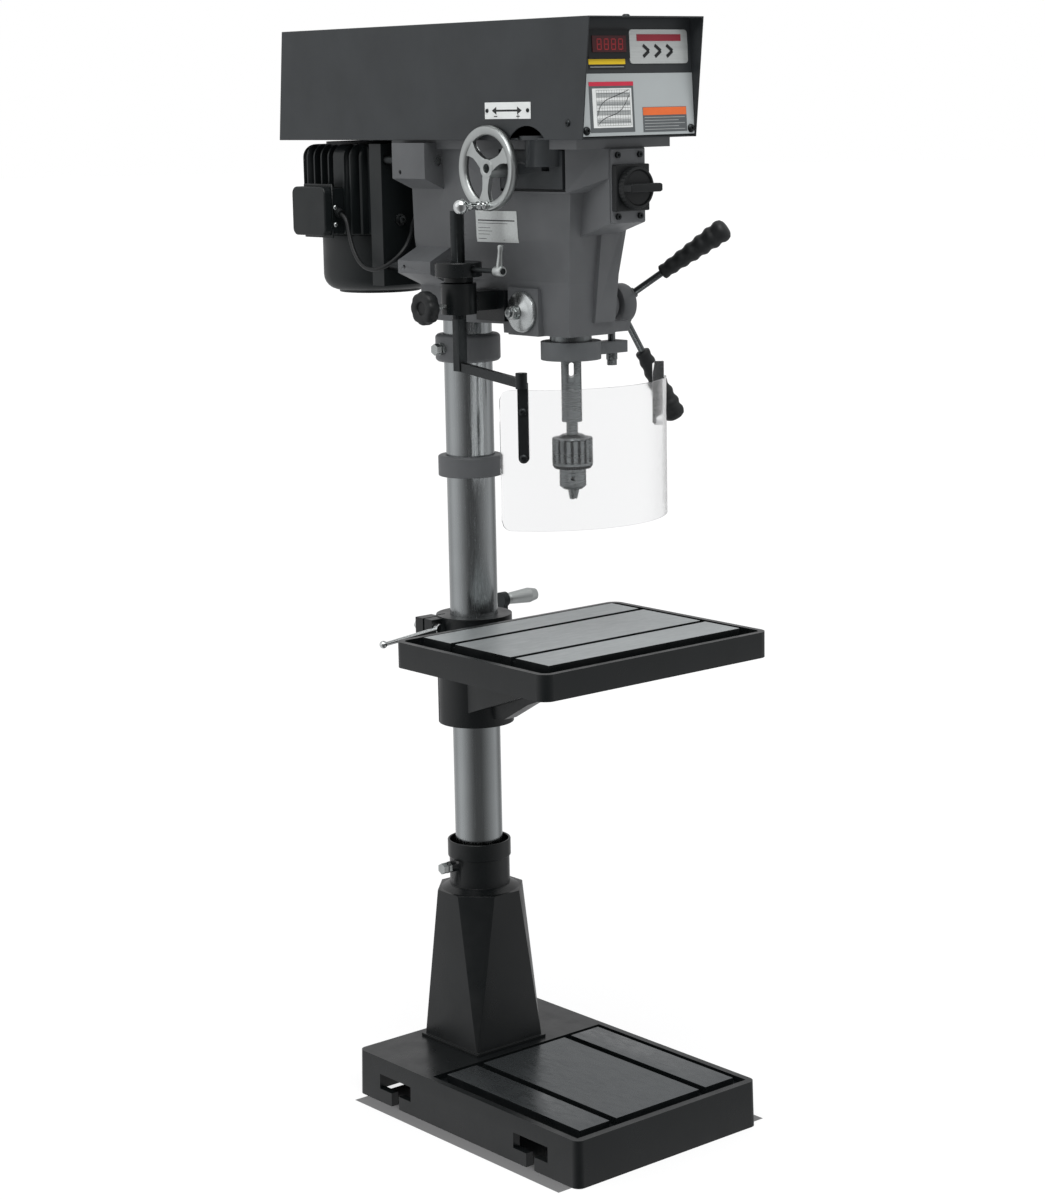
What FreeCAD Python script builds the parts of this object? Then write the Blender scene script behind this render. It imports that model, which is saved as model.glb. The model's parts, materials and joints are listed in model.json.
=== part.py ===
import FreeCAD, Part

import math
import os
import re

import Sketcher

# Floor-standing variable-speed drill press, millimetres.
# Origin: the column axis on the floor. +Z is up, the operator stands at -Y, +X is the operator's right.

Vector = FreeCAD.Vector
Rotation = FreeCAD.Rotation

doc = FreeCAD.newDocument("DrillPress")
sheet = doc.addObject("Spreadsheet::Sheet", "Dimensions")

SIZES = {
    # clearances
    "seat_gap": 0.15, "run_gap": 0.3,
    # column
    "column_radius": 40, "column_bore": 32, "column_foot": 100, "column_top": 1565,
    # base casting
    "base_half": 196.6, "base_rear": 99.8, "base_front": 468.4, "base_height": 78, "base_draft": 1,
    "base_wall": 14, "base_hollow": 54, "base_boss": 88, "base_corner": 14,
    "base_trough_half": 184, "base_trough_rear": 92, "base_trough_front": 454, "base_trough_floor": 68,
    "base_land_top": 82, "base_land_half": 167, "base_land_mid": 90, "base_groove": 15,
    "base_land_rear": 109, "base_land_front": 441,
    "anchor_rear": -3, "anchor_front": -354, "anchor_half": 42, "anchor_low": 23, "anchor_high": 49,
    "anchor_neck": 10,
    # pedestal
    "foot_half": 72, "foot_corner": 70, "shoulder_half": 71, "shoulder_flat": 27, "shoulder_top": 349,
    "lip_half": 76, "lip_top": 83, "neck_radius": 51, "neck_top": 404, "neck_bolt": 394, "neck_boss": 66,
    # collars on the column
    "cup_radius": 53.5, "cup_bore": 49.8, "cup_top": 433, "cup_floor": 412,
    "ring_low": 1056, "ring_high": 1090, "ring_roof": 1083,
    "collar_radius": 53.5, "collar_low": 1245, "collar_high": 1290, "collar_bevel": 4,
    # rack behind the column
    "rack_half": 10, "rack_back": 41, "rack_tip": 48, "rack_tooth": 4, "rack_pitch": 12.566,
    "rack_low": 413, "rack_high": 1082, "rack_teeth": 47,
    # table bracket and crank
    "sleeve_radius": 63.5, "sleeve_low": 638, "sleeve_high": 822, "arm_front": 340, "arm_top": 779.6,
    "pad_half": 70, "crank_y": 62, "crank_z": 745, "crank_throw": 76, "crank_shaft": 7, "crank_tip": 13.7,
    "crank_arm_x": 108, "crank_grip_end": 186, "clamp_x": -74, "clamp_z": 805,
    "wing_half": 50,
    # table
    "table_half": 238, "table_rear": 88, "table_front": 457.6, "table_low": 780, "table_high": 821.8,
    "table_rim": 10, "table_floor": 808, "table_under": 796, "table_corner": 20,
    "land_top": 827, "land_half": 201, "land_a": 121, "land_b": 188, "land_c": 200, "land_d": 336,
    "land_e": 348, "land_f": 426,
    # head casting
    "head_low": 1302, "head_waist": 1385, "head_hip": 1450, "head_high": 1590, "head_rear_low": 1316,
    "flange_half": 95, "flange_rear": 66, "flange_front": 386, "flange_top": 1604.4,
    "recess_floor": 66, "recess_rear": 188, "recess_front": 342, "recess_low": 1526,
    "lug_reach": 120, "rod_x": 92, "rod_low": 1404, "rod_high": 1572, "rod_radius": 8,
    "box_half": 36, "box_front": 392, "box_low": 1478, "box_root": 1463,
    "stop_x": 86, "stop_lug": 1318,
    # spindle line
    "spindle_y": -257, "quill_radius": 33, "quill_low": 1264, "quill_high": 1500, "quill_tooth": 4,
    "quill_pitch": 13.352, "quill_rack_low": 1290, "quill_teeth": 15, "collar_r": 47.5, "collar_foot": 1263,
    "collar_head": 1292, "spindle_radius": 16, "spindle_foot": 1165, "spindle_neck": 12, "drive_radius": 10,
    "spindle_head": 1735, "sleeve_bore": 10.4, "sleeve_shell": 22,
    "chuck_top": 1145, "arbor_radius": 9, "core_radius": 24, "grip_radius": 32, "grip_low": 1091,
    "grip_high": 1140, "jaw_house": 21, "jaw_house_low": 1058, "jaw_tip": 1042.6, "jaw_radius": 4.2,
    "jaw_reach": 40, "jaw_lean": 14.4, "jaw_offset": 2.3, "drill_bore": 8,
    # feed
    "feed_y": -209, "feed_z": 1338, "feed_tip": 14.7, "feed_shaft": 11, "hub_radius": 33, "hub_near": 129,
    "hub_far": 158, "spoke_radius": 5.5, "spoke_lean": 27, "spoke_first": 39, "spoke_start": 22,
    "spoke_end": 212, "grip_start": 89, "grip_end": 217, "grip_small": 12.5, "grip_large": 19,
    "spring_face": 70, "spring_radius": 32, "spring_seat": 56,
    # belt cover
    "cover_half": 116, "cover_low": 1604.4, "cover_high": 1782.9, "cover_rear_low": 351,
    "cover_rear_high": 334, "cover_front_low": 423, "cover_front_high": 441, "cover_wall": 2,
    "pan_top": 1607.4, "notch_y": -295.5, "notch_z": 1572.4, "notch_radius": 53,
    "panel_low_y": -421, "panel_high_y": -411, "panel_wall": 2,
    # drive
    "motor_y": 234, "belt_z": 1690, "belt_half": 10, "belt_thick": 6, "driven_pitch": 78, "driver_pitch": 48,
    "driven_radius": 88, "driver_radius": 58,
    "frame_low": 1448, "frame_high": 1601, "frame_radius": 84, "fin_half": 101, "fin_thick": 3.5,
    "fin_step": 20, "fin_corner": 44, "fin_crown": 22, "cowl_radius": 95, "cowl_low": 1354, "cowl_bend": 26, "motor_shaft": 12,
    "bracket_half": 104, "bracket_front": 85, "bracket_web": 6, "bracket_flange": 116, "bracket_low": 1369,
    "bracket_high": 1598,
    "wiring_face": 142, "lid_depth": 16, "wiring_low": 1449, "wiring_high": 1529, "wiring_front": 192, "wiring_rear": 284,
    # speed control
    "wheel_x": -126, "wheel_y": -215, "wheel_z": 1562, "wheel_radius": 65, "wheel_rim": 7,
    "wheel_crank": 56, "handle_ball": 12, "handle_x": -176, "tower_x": -78, "tower_y": -296,
    "tower_radius": 32,
    # switch
    "plate_half": 34.5, "plate_low": 1479, "plate_high": 1589, "switch_z": 1531, "switch_half": 35,
    "dial_radius": 32,
    # guard
    "guard_x": -125, "guard_y": -135, "guard_body": 28, "guard_body_low": 1336, "guard_body_high": 1384,
    "disc_low": 1394, "disc_high": 1417, "disc_radius": 37, "guard_rod": 11, "guard_rod_top": 1496,
    "bar_half": 8, "bar_low": 1246, "arm_drop": 11, "swing_x": -158, "swing_y": -323, "shield_y": -200,
    "shield_radius": 188, "shield_wall": 3, "shield_low": 1013, "shield_high": 1230,
    "shield_from": 206, "shield_to": 325,
}

for line, (alias, value) in enumerate(SIZES.items(), 1):
    sheet.set(f"A{line}", alias)
    sheet.set(f"B{line}", str(value))
    sheet.setAlias(f"B{line}", alias)
doc.recompute()

NODES = []
TURNS = {
    "z": Rotation(),
    "-z": Rotation(Vector(1, 0, 0), 180),
    "x": Rotation(Vector(0, 1, 0), 90),
    "-x": Rotation(Vector(0, 1, 0), -90),
    "y": Rotation(Vector(1, 0, 0), -90),
    "-y": Rotation(Vector(1, 0, 0), 90),
}


def size(alias):
    """Value of one cell of the sheet."""
    return float(sheet.get(alias))


def formula(text):
    """The expression with its aliases pointing at the sheet."""
    return re.sub(r"[a-z]\w*", lambda word: "Dimensions." + word[0] if word[0] in SIZES else word[0], str(text))


def number(text):
    """The same expression as a number."""
    return float(worth(str(text)))


def worth(text):
    """Sum of products of aliases and numbers, such as '-cover_half + 2 * cover_wall'."""
    total = 0.0
    for term in re.findall(r"[+-]?[^+-]+", text.replace(" ", "")):
        sign = -1.0 if term.startswith("-") else 1.0
        product = sign
        for factor in term.lstrip("+-").split("*"):
            first, *divisors = factor.split("/")
            product *= size(first) if first in SIZES else float(first)
            for divisor in divisors:
                product /= size(divisor) if divisor in SIZES else float(divisor)
        total += product
    return total


def place(item, at=(0, 0, 0), turn="z"):
    """Put an object at a point, turned so that its own Z looks along the named axis."""
    rotation = turn if isinstance(turn, Rotation) else TURNS[turn]
    item.Placement = FreeCAD.Placement(Vector(*(number(value) for value in at)), rotation)
    if at != (0, 0, 0):
        for letter, value in zip("xyz", at):
            item.setExpression(f"Placement.Base.{letter}", formula(value))
    return item


def bar(length, width, height, placement):
    """Rectangular bar that starts at a placement, runs along its X and is centred on its Y."""
    item = doc.addObject("Part::Box", "Bar")
    item.setExpression("Length", formula(length))
    item.setExpression("Width", formula(width))
    item.setExpression("Height", formula(height))
    offset = FreeCAD.Placement(Vector(0, -number(width) / 2, 0), Rotation())
    item.Placement = placement.multiply(offset)
    return item


def rod(radius, length, at=(0, 0, 0), turn="z", name="Rod"):
    item = doc.addObject("Part::Cylinder", name)
    item.setExpression("Radius", formula(radius))
    item.setExpression("Height", formula(length))
    return place(item, at, turn)


def cone(radius_1, radius_2, length, at=(0, 0, 0), turn="z"):
    item = doc.addObject("Part::Cone", "Cone")
    item.setExpression("Radius1", formula(radius_1))
    item.setExpression("Radius2", formula(radius_2))
    item.setExpression("Height", formula(length))
    return place(item, at, turn)


def ball(radius, at):
    item = doc.addObject("Part::Sphere", "Ball")
    item.setExpression("Radius", formula(radius))
    return place(item, at)


def torus(radius, tube, at, turn="z"):
    item = doc.addObject("Part::Torus", "Torus")
    item.setExpression("Radius1", formula(radius))
    item.setExpression("Radius2", formula(tube))
    return place(item, at, turn)


def block(x, y, z):
    """Box between two limits on each axis."""
    item = doc.addObject("Part::Box", "Block")
    for side, (low, high) in zip(("Length", "Width", "Height"), (x, y, z)):
        item.setExpression(side, formula(f"({high}) - ({low})"))
    return place(item, (x[0], y[0], z[0]))


def cut(base, *tools):
    item = doc.addObject("Part::Cut", "Cut")
    item.Base = base
    item.Tool = tools[0] if len(tools) == 1 else fuse(*tools)
    return item


def fuse(*parts):
    item = doc.addObject("Part::MultiFuse", "Fusion")
    item.Shapes = list(parts)
    return item


def common(first, second):
    item = doc.addObject("Part::MultiCommon", "Common")
    item.Shapes = [first, second]
    return item


def group(*parts):
    """Identical or related pieces that stay separate solids."""
    item = doc.addObject("Part::Compound", "Group")
    item.Links = list(parts)
    return item


def mirrored(source, normal=(1, 0, 0)):
    item = doc.addObject("Part::Mirroring", "Mirror")
    item.Source = source
    item.Normal = Vector(*normal)
    return item


def tube(radius, bore, length, at=(0, 0, 0), turn="z"):
    return cut(rod(radius, length, at, turn), rod(bore, length, at, turn))


def outline(body, plane, points, name="Outline"):
    """Closed sketch of straight lines on an origin plane, every corner bound to the sheet."""
    sketch = body.newObject("Sketcher::SketchObject", name)
    support = [item for item in body.Origin.OriginFeatures if item.Role == plane + "_Plane"][0]
    sketch.AttachmentSupport = [(support, "")]
    sketch.MapMode = "FlatFace"
    corners = [Vector(number(x), number(y), 0) for x, y in points]
    count = len(corners)
    for index in range(count):
        sketch.addGeometry(Part.LineSegment(corners[index], corners[(index + 1) % count]))
    for index in range(count):
        sketch.addConstraint(Sketcher.Constraint("Coincident", index, 2, (index + 1) % count, 1))
    for index, point in enumerate(points):
        for kind, text, value in zip(("DistanceX", "DistanceY"), point, corners[index]):
            label = sketch.addConstraint(Sketcher.Constraint(kind, -1, 1, index, 1, value))
            sketch.setExpression(f"Constraints[{label}]", formula(text))
    return sketch


def turned(profile, at=(0, 0, 0), turn="z"):
    """Lathe-turned piece from its half profile of (radius, height) points."""
    body = doc.addObject("PartDesign::Body", "Turned")
    sketch = outline(body, "XZ", profile, "Profile")
    spin = body.newObject("PartDesign::Revolution", "Revolution")
    spin.Profile = sketch
    spin.ReferenceAxis = (sketch, ["V_Axis"])
    spin.Angle = 360
    return place(body, at, turn)


def slab(plane, points, thickness, at=(0, 0, 0), draft=0):
    """Prism of an outline, half its thickness to each side of the plane, or upward when it has draft."""
    body = doc.addObject("PartDesign::Body", "Slab")
    sketch = outline(body, plane, points)
    pad = body.newObject("PartDesign::Pad", "Pad")
    pad.Profile = sketch
    pad.setExpression("Length", formula(thickness))
    if draft:
        pad.setExpression("TaperAngle", formula(draft))
    else:
        pad.SideType = "Symmetric"
    return place(body, at)


def rounded(item, radius, pick):
    """Fillet of the edges that pick(edge) chooses."""
    doc.recompute()
    chosen = [index for index, edge in enumerate(item.Shape.Edges, 1) if pick(edge)]
    fillet = doc.addObject("Part::Fillet", "Fillet")
    fillet.Base = item
    fillet.Edges = [(index, number(radius), number(radius)) for index in chosen]
    return fillet


def upright(edge):
    """Whether an edge is nearly vertical."""
    return abs(edge.tangentAt(edge.FirstParameter).z) > 0.95


def node(item, label):
    """Name a finished sub-part; its label names its file."""
    item.Label = label
    NODES.append(item)
    return item


def hex_head(radius, height, at, turn):
    """Hexagonal bolt head or nut."""
    item = doc.addObject("Part::Prism", "Hexagon")
    item.Polygon = 6
    item.setExpression("Circumradius", formula(radius))
    item.setExpression("Height", formula(height))
    return place(item, at, turn)


def socket_screw(radius, height, at, turn):
    """Cap screw head with a hexagon socket."""
    head = rod(radius, height, at, turn)
    return cut(head, hex_head(f"{radius} / 2", height, shifted(at, turn, f"{height} / 2"), turn))


def shifted(at, turn, distance):
    """A point moved along a named axis."""
    axis = "xyz".index(turn[-1])
    sign = "-" if turn.startswith("-") else "+"
    return tuple(f"{value} {sign} {distance}" if index == axis else value for index, value in enumerate(at))


# ------------------------------------------------------------------ stand

def make_base():
    """Cast base: rim, coolant trough, three machined lands, and bolt windows in its side walls."""
    corners = [("-base_half", "-base_front"), ("base_half", "-base_front"), ("base_half", "base_rear"),
               ("-base_half", "base_rear")]
    body = rounded(slab("XY", corners, "base_height", draft="-base_draft"), "base_corner", upright)
    trough = block(("-base_trough_half", "base_trough_half"), ("-base_trough_front", "-base_trough_rear"),
                   ("base_trough_floor", "base_height + 10"))
    hollow = block(("-base_half + base_wall", "base_half - base_wall"),
                   ("-base_front + base_wall", "base_rear - base_wall"), ("-1", "base_hollow"))
    shell = cut(body, trough, hollow)
    land_y = ("-base_land_front", "-base_land_rear")
    land_z = ("base_trough_floor - 1", "base_land_top")
    lands = [block(("-base_land_mid", "base_land_mid"), land_y, land_z),
             block(("base_land_mid + base_groove", "base_land_half"), land_y, land_z),
             block(("-base_land_half", "-base_land_mid - base_groove"), land_y, land_z)]
    boss = rod("base_boss", "base_hollow + 1")
    ribs = [block(("-base_half + 5", "base_half - 5"), ("-205", "-195"), ("8", "base_hollow + 1")),
            block(("-6", "6"), ("-base_front + 5", "-70"), ("8", "base_hollow + 1"))]
    windows = []
    for centre in ("anchor_rear", "anchor_front"):
        windows.append(block(("-base_half - 10", "-base_boss - 6"), (f"{centre} - anchor_half",
                             f"{centre} + anchor_half"), ("anchor_low", "anchor_high")))
        windows.append(block(("-base_half - 10", "-base_boss - 6"), (f"{centre} - anchor_neck",
                             f"{centre} + anchor_neck"), ("-1", "anchor_high")))
    windows += [mirrored(window) for window in windows]
    return node(cut(fuse(shell, boss, *lands, *ribs), *windows), "base")


def loft(sections):
    """Part::Loft through feature wires, ruled."""
    item = doc.addObject("Part::Loft", "Loft")
    item.Sections = sections
    item.Solid = True
    item.Ruled = True
    return item


def section(points, height):
    """Horizontal closed wire for a loft."""
    item = doc.addObject("Sketcher::SketchObject", "Section")
    corners = [Vector(number(x), number(y), 0) for x, y in points]
    count = len(corners)
    for index in range(count):
        item.addGeometry(Part.LineSegment(corners[index], corners[(index + 1) % count]))
    for index in range(count):
        item.addConstraint(Sketcher.Constraint("Coincident", index, 2, (index + 1) % count, 1))
    for index, point in enumerate(points):
        for kind, text, value in zip(("DistanceX", "DistanceY"), point, corners[index]):
            label = item.addConstraint(Sketcher.Constraint(kind, -1, 1, index, 1, value))
            item.setExpression(f"Constraints[{label}]", formula(text))
    return place(item, (0, 0, height))


def eight_sides(half, flat):
    return [(f"-{half}", f"-{flat}"), (f"-{flat}", f"-{half}"), (flat, f"-{half}"), (half, f"-{flat}"),
            (half, flat), (flat, half), (f"-{flat}", half), (f"-{half}", flat)]


def make_pedestal():
    """Square foot rising to an octagonal shoulder and a round clamping neck."""
    shaft = loft([section(eight_sides("foot_half", "foot_corner"), "base_height"),
                  section(eight_sides("shoulder_half", "shoulder_flat"), "shoulder_top")])
    lip = block(("-lip_half", "lip_half"), ("-lip_half", "lip_half"), ("base_height", "lip_top"))
    neck = rod("neck_radius", "neck_top - shoulder_top + 2", (0, 0, "shoulder_top - 2"))
    fillet = cone("shoulder_half - 5", "neck_radius + 2", 7, (0, 0, "shoulder_top"))
    boss = rod(9.5, "neck_boss", (0, 0, "neck_bolt"), "-x")
    bore = rod("column_radius + seat_gap", "neck_top - column_foot", (0, 0, "column_foot"))
    bolt_hole = rod("5.2", "neck_boss + 10", (0, 0, "neck_bolt"), "-x")
    return node(cut(fuse(shaft, lip, neck, fillet, boss), bore, bolt_hole), "pedestal")


def make_column():
    """Ground steel tube."""
    profile = [("column_bore", "column_foot"), ("column_radius", "column_foot"), ("column_radius", "column_top"),
               ("column_bore", "column_top")]
    return node(turned(profile), "column")


def make_rack_lower_ring():
    """Cup on top of the neck that the rack stands and turns in."""
    inner = "column_radius + seat_gap"
    profile = [(inner, "neck_top"), ("cup_radius", "neck_top"), ("cup_radius", "cup_top"),
               ("cup_bore", "cup_top"), ("cup_bore", "cup_floor"), (inner, "cup_floor")]
    return node(turned(profile), "rack_lower_ring")


def make_column_collars():
    """Ring that holds the rack down, and the collar that the head rests on while it is clamped."""
    inner = "column_radius + seat_gap"
    ring = [(inner, "ring_roof"), ("cup_bore", "ring_roof"), ("cup_bore", "ring_low"),
            ("cup_radius", "ring_low"), ("cup_radius", "ring_high - 2"), ("cup_radius - 2", "ring_high"),
            (inner, "ring_high")]
    collar = [(inner, "collar_low"), ("collar_radius - collar_bevel", "collar_low"),
              ("collar_radius", "collar_low + collar_bevel"), ("collar_radius", "collar_high - collar_bevel"),
              ("collar_radius - collar_bevel", "collar_high"), (inner, "collar_high")]
    bolt_hole = rod(5.2, 70, (0, 0, "collar_low / 2 + collar_high / 2"), "-x")
    return node(group(turned(ring), cut(turned(collar), bolt_hole)), "column_collars")


# ------------------------------------------------------------------ table and its bracket

def make_table_rack():
    """Toothed bar behind the column; its ends turn in the two cups."""
    body = doc.addObject("PartDesign::Body", "Rack")
    profile = outline(body, "XY", [("-rack_half", "rack_back"), ("rack_half", "rack_back"),
                                   ("rack_half", "rack_tip"), ("-rack_half", "rack_tip")])
    bar = body.newObject("PartDesign::Pad", "Bar")
    bar.Profile = profile
    bar.setExpression("Length", formula("rack_high - rack_low"))
    gap = outline(body, "YZ", [("rack_tip - rack_tooth", "35"), ("rack_tip - rack_tooth", "39"),
                               ("rack_tip + 1", "42"), ("rack_tip + 1", "32")], "Gap")
    space = body.newObject("PartDesign::Pocket", "Space")
    space.Profile = gap
    space.Length = 60
    space.SideType = "Symmetric"
    row = body.newObject("PartDesign::LinearPattern", "Row")
    row.Originals = [space]
    axis = [item for item in body.Origin.OriginFeatures if item.Role == "Z_Axis"][0]
    row.Direction = (axis, [""])
    row.setExpression("Length", formula("rack_pitch * (rack_teeth - 1)"))
    row.setExpression("Occurrences", formula("rack_teeth"))
    body.Tip = row
    return node(place(body, (0, 0, "rack_low")), "table_rack")


def make_table():
    """Production table: rim, trough and three machined lands, with a finished underside."""
    outer = rounded(block(("-table_half", "table_half"), ("-table_front", "-table_rear"),
                          ("table_low", "table_high")), "table_corner", upright)
    inner_x = ("-table_half + table_rim", "table_half - table_rim")
    inner_y = ("-table_front + table_rim", "-table_rear - table_rim")
    trough = rounded(block(inner_x, inner_y, ("table_floor", "land_top + 5")), "table_corner - 8", upright)
    under = rounded(block(inner_x, inner_y, ("table_low - 5", "table_under")), "table_corner - 8", upright)
    lands = []
    for front, rear in (("land_b", "land_a"), ("land_d", "land_c"), ("land_f", "land_e")):
        lands.append(block(("-land_half", "land_half"), (f"-{front}", f"-{rear}"),
                           ("table_floor - 1", "land_top")))
    for front, rear in (("land_c", "land_b"), ("land_e", "land_d")):
        lands.append(block(("-land_half + 3", "land_half - 3"), (f"-{front} - 1", f"-{rear} + 1"),
                           ("table_floor - 1", "land_top - 7")))
    ribs = [block((f"{place_x} - 4", f"{place_x} + 4"), inner_y, ("table_low + 6", "table_under + 1"))
            for place_x in (-150, 150)]
    return node(fuse(cut(outer, trough, under), *lands, *ribs), "table")


def make_table_bracket():
    """Sleeve on the column with an arm under the table, a rack groove, a gear case and clamp lugs."""
    height = "sleeve_high - sleeve_low"
    sleeve = rod("sleeve_radius", height, (0, 0, "sleeve_low"))
    arm = slab("YZ", [("-50", "650"), ("-50", "arm_top"), ("-arm_front", "arm_top"), ("-arm_front", "764"),
                      ("-150", "690"), ("-90", "656")], 26)
    wing = slab("YZ", [("-40", "664"), ("-40", "arm_top"), ("-arm_front + 20", "arm_top"),
                       ("-arm_front + 20", "768"), ("-160", "707")], "2 * wing_half")
    pad = block(("-pad_half", "pad_half"), ("-arm_front", "-table_rear - 24"), ("arm_top", "table_under"))
    case = block((-26, 26), (35, "crank_y + 24"), ("crank_z - 26", "crank_z + 26"))
    bearing = rod(17, "crank_arm_x - 4", (0, "crank_y", "crank_z"), "x")
    lugs = block(("clamp_x - 10", -50), (8, 52), ("clamp_z - 18", "sleeve_high - 2"))
    split = block(("clamp_x - 16", -38), (28, 32), ("sleeve_low - 1", "sleeve_high + 1"))
    bore = rod("column_radius + run_gap", height + " + 2", (0, 0, "sleeve_low - 1"))
    groove = block(("-rack_half - 1", "rack_half + 1"), (30, "rack_tip + 1"),
                   ("sleeve_low - 1", "sleeve_high + 1"))
    well = rod("crank_tip + 1.6", 32, (-16, "crank_y", "crank_z"), "x")
    shaft_hole = rod("crank_shaft + run_gap", "crank_arm_x + 30", (-20, "crank_y", "crank_z"), "x")
    screw_hole = rod("5.3", 60, ("clamp_x", 0, "clamp_z"), "y")
    body = cut(fuse(sleeve, arm, wing, pad, case, bearing, lugs), bore, groove, well, shaft_hole, split,
               screw_hole)
    return node(body, "table_bracket")


def make_table_crank():
    """Crank arm on its pinion shaft."""
    shaft = rod("crank_shaft", "crank_arm_x + 18", (-18, "crank_y", "crank_z"), "x")
    pinion = rod("crank_tip", 28, (-14, "crank_y", "crank_z"), "x")
    hub = rod(17, 12, ("crank_arm_x", "crank_y", "crank_z"), "x")
    end = rod(13, 12, ("crank_arm_x", "crank_y", "crank_z + crank_throw"), "x")
    web = block(("crank_arm_x", "crank_arm_x + 10"), ("crank_y - 9", "crank_y + 9"),
                ("crank_z", "crank_z + crank_throw"))
    teeth = [block((-16, 16), ("crank_y + crank_tip - 3", "crank_y + crank_tip + 3"),
                   ("crank_z - 1.5", "crank_z + 1.5"))]
    stud = rod(4, "crank_grip_end - crank_arm_x - 17", ("crank_arm_x + 10", "crank_y", "crank_z + crank_throw"),
               "x")
    return node(cut(fuse(shaft, pinion, hub, end, web, stud), *teeth), "table_crank")


def make_crank_grip():
    """Tapered aluminium grip that turns on the crank's stud."""
    length = "crank_grip_end - crank_arm_x - 13"
    profile = [("4 + run_gap", 0), (8, 0), (10, 8), (13, 50), (10, length), (0, length),
               (0, f"{length} - 5"), ("4 + run_gap", f"{length} - 5")]
    return node(turned(profile, ("crank_arm_x + 13", "crank_y", "crank_z + crank_throw"), "x"), "crank_grip")


def make_clamp_lever():
    """Clamp screw through the bracket's lugs, with a ball-ended lever."""
    screw = rod(5, 62, ("clamp_x", -4, "clamp_z"), "y")
    hub = rod(9, 11, ("clamp_x", -4, "clamp_z"), "y")
    arm = cone(4.6, 3.4, 112, ("clamp_x - 4", 1.5, "clamp_z"))
    lean = Rotation(Vector(0, 1, 0), -95)
    arm.Placement = FreeCAD.Placement(arm.Placement.Base, lean)
    end = ball(6.4, ("clamp_x - 116", 1.5, "clamp_z - 9.5"))
    nut = hex_head(9, 6, ("clamp_x", 52.3, "clamp_z"), "y")
    return node(fuse(screw, hub, arm, end, nut), "clamp_lever")


# ------------------------------------------------------------------ head

def head_section(points, height):
    """Symmetrical section of the head from the points of its left side, rear to front."""
    left = [(f"-{x}", y) for x, y in points]
    right = [(x, y) for x, y in reversed(points)]
    return section(left + right, height)


def head_trunk():
    """Tapering body of the head, before its lugs and bores."""
    return loft([head_section([(40, 58), (66, 30), (66, -50), (47, -150), (46, -306)], "head_low"),
                 head_section([(44, 60), (72, 31), (72, -55), (50, -160), (50, -313)], "head_waist"),
                 head_section([(50, 62), (80, 32), (80, -60), (76, -190), (57, -323)], "head_hip"),
                 head_section([(50, 62), (84, 32), (84, -60), (82, -200), (70, -345)], "head_high")])


def make_head_casting():
    """Head: column socket, quill housing, motor lugs, switch box, and the flange under the belt cover."""
    step = block((-100, 100), (-150, 80), ("head_low - 1", "head_rear_low"))
    flange = block(("-flange_half", "flange_half"), ("-flange_front", "flange_rear"),
                   ("head_high", "flange_top"))
    switch_box = slab("YZ", [(-332, "box_root - 4"), ("-box_front", "box_low"), ("-box_front", "head_high"),
                             (-300, "head_high"), (-300, 1450)], "2 * box_half")
    lugs = []
    upper = [("-lug_reach", "head_high + 10"), ("-lug_reach", 1544), (-76, 1524), (-76, "head_high + 10")]
    lower = [("-lug_reach", 1414), ("-lug_reach", 1394), (-68, 1370), (-68, 1440)]
    for points, middle in ((upper, -8), (lower, -16)):
        lug = slab("XZ", points, 84, (0, middle, 0))
        lugs += [lug, mirrored(lug)]
    spring_pad = block(("-spring_seat", -30), (-245, -172), (1301, 1375))
    pinion_boss = rod(24, 80, (45, "feed_y", "feed_z"), "x")
    stop_lug = block((40, "stop_x + 14"), (-285, -229), ("head_low", "stop_lug"))
    front_pad = slab("YZ", [(-300, 1322), (-314, 1322), (-332, "box_root"), (-300, "box_root")], 42, (22, 0, 0))
    shoulders = slab("XY", [(-82, -190), (-80, "-recess_front"), ("-box_half - 1", "-box_front + 1"),
                            ("box_half + 1", "-box_front + 1"), (80, "-recess_front"), (82, -190)], 90, (0, 0, 1550))
    wedge = slab("YZ", [(-190, 1524), ("-recess_front", 1524), ("-box_front", 1546), ("-box_front", "head_high"),
                        (-190, "head_high")], 200)
    clamp_ears = block((-24, 24), (55, 84), (1340, 1430))
    solid = fuse(cut(head_trunk(), step), flange, switch_box, *lugs, spring_pad, pinion_boss, stop_lug, front_pad,
                 common(shoulders, wedge), clamp_ears)
    column_bore = rod("column_radius + seat_gap", "column_top - head_low + 2", (0, 0, "head_low - 1"))
    split = block((-3, 3), (30, 90), (1300, 1460))
    quill_bore = rod("quill_radius + run_gap", "quill_high + 20 - head_low", (0, "spindle_y", "head_low - 1"))
    drive_bore = rod("sleeve_shell + run_gap", 200, (0, "spindle_y", "quill_high"))
    pinion_bore = rod("feed_tip + 1.5", 92, (-46, "feed_y", "feed_z"), "x")
    shaft_bore = rod("feed_shaft + run_gap", 240, (-100, "feed_y", "feed_z"), "x")
    stop_hole = rod(6.5, 40, ("stop_x", "spindle_y", "head_low - 5"))
    recess = block((-140, "-recess_floor"), ("-recess_front", "-recess_rear"), ("recess_low", "head_high"))
    tower_hole = rod("tower_radius + 0.5", 60, ("tower_x", "tower_y", 1560))
    holes = []
    for side in ("-rod_x", "rod_x"):
        for level in ("rod_low", "rod_high"):
            holes.append(rod("rod_radius + seat_gap", 120, (side, -70, level), "y"))
    for middle, level in ((14, 1554), (10, 1404)):
        holes.append(rod(3.6, 12, ("-lug_reach - 2", middle, level), "x"))
    tools = [column_bore, split, quill_bore, drive_bore, pinion_bore, shaft_bore, stop_hole, recess,
             tower_hole, *holes]
    return node(cut(solid, *tools), "head_casting")


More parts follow.
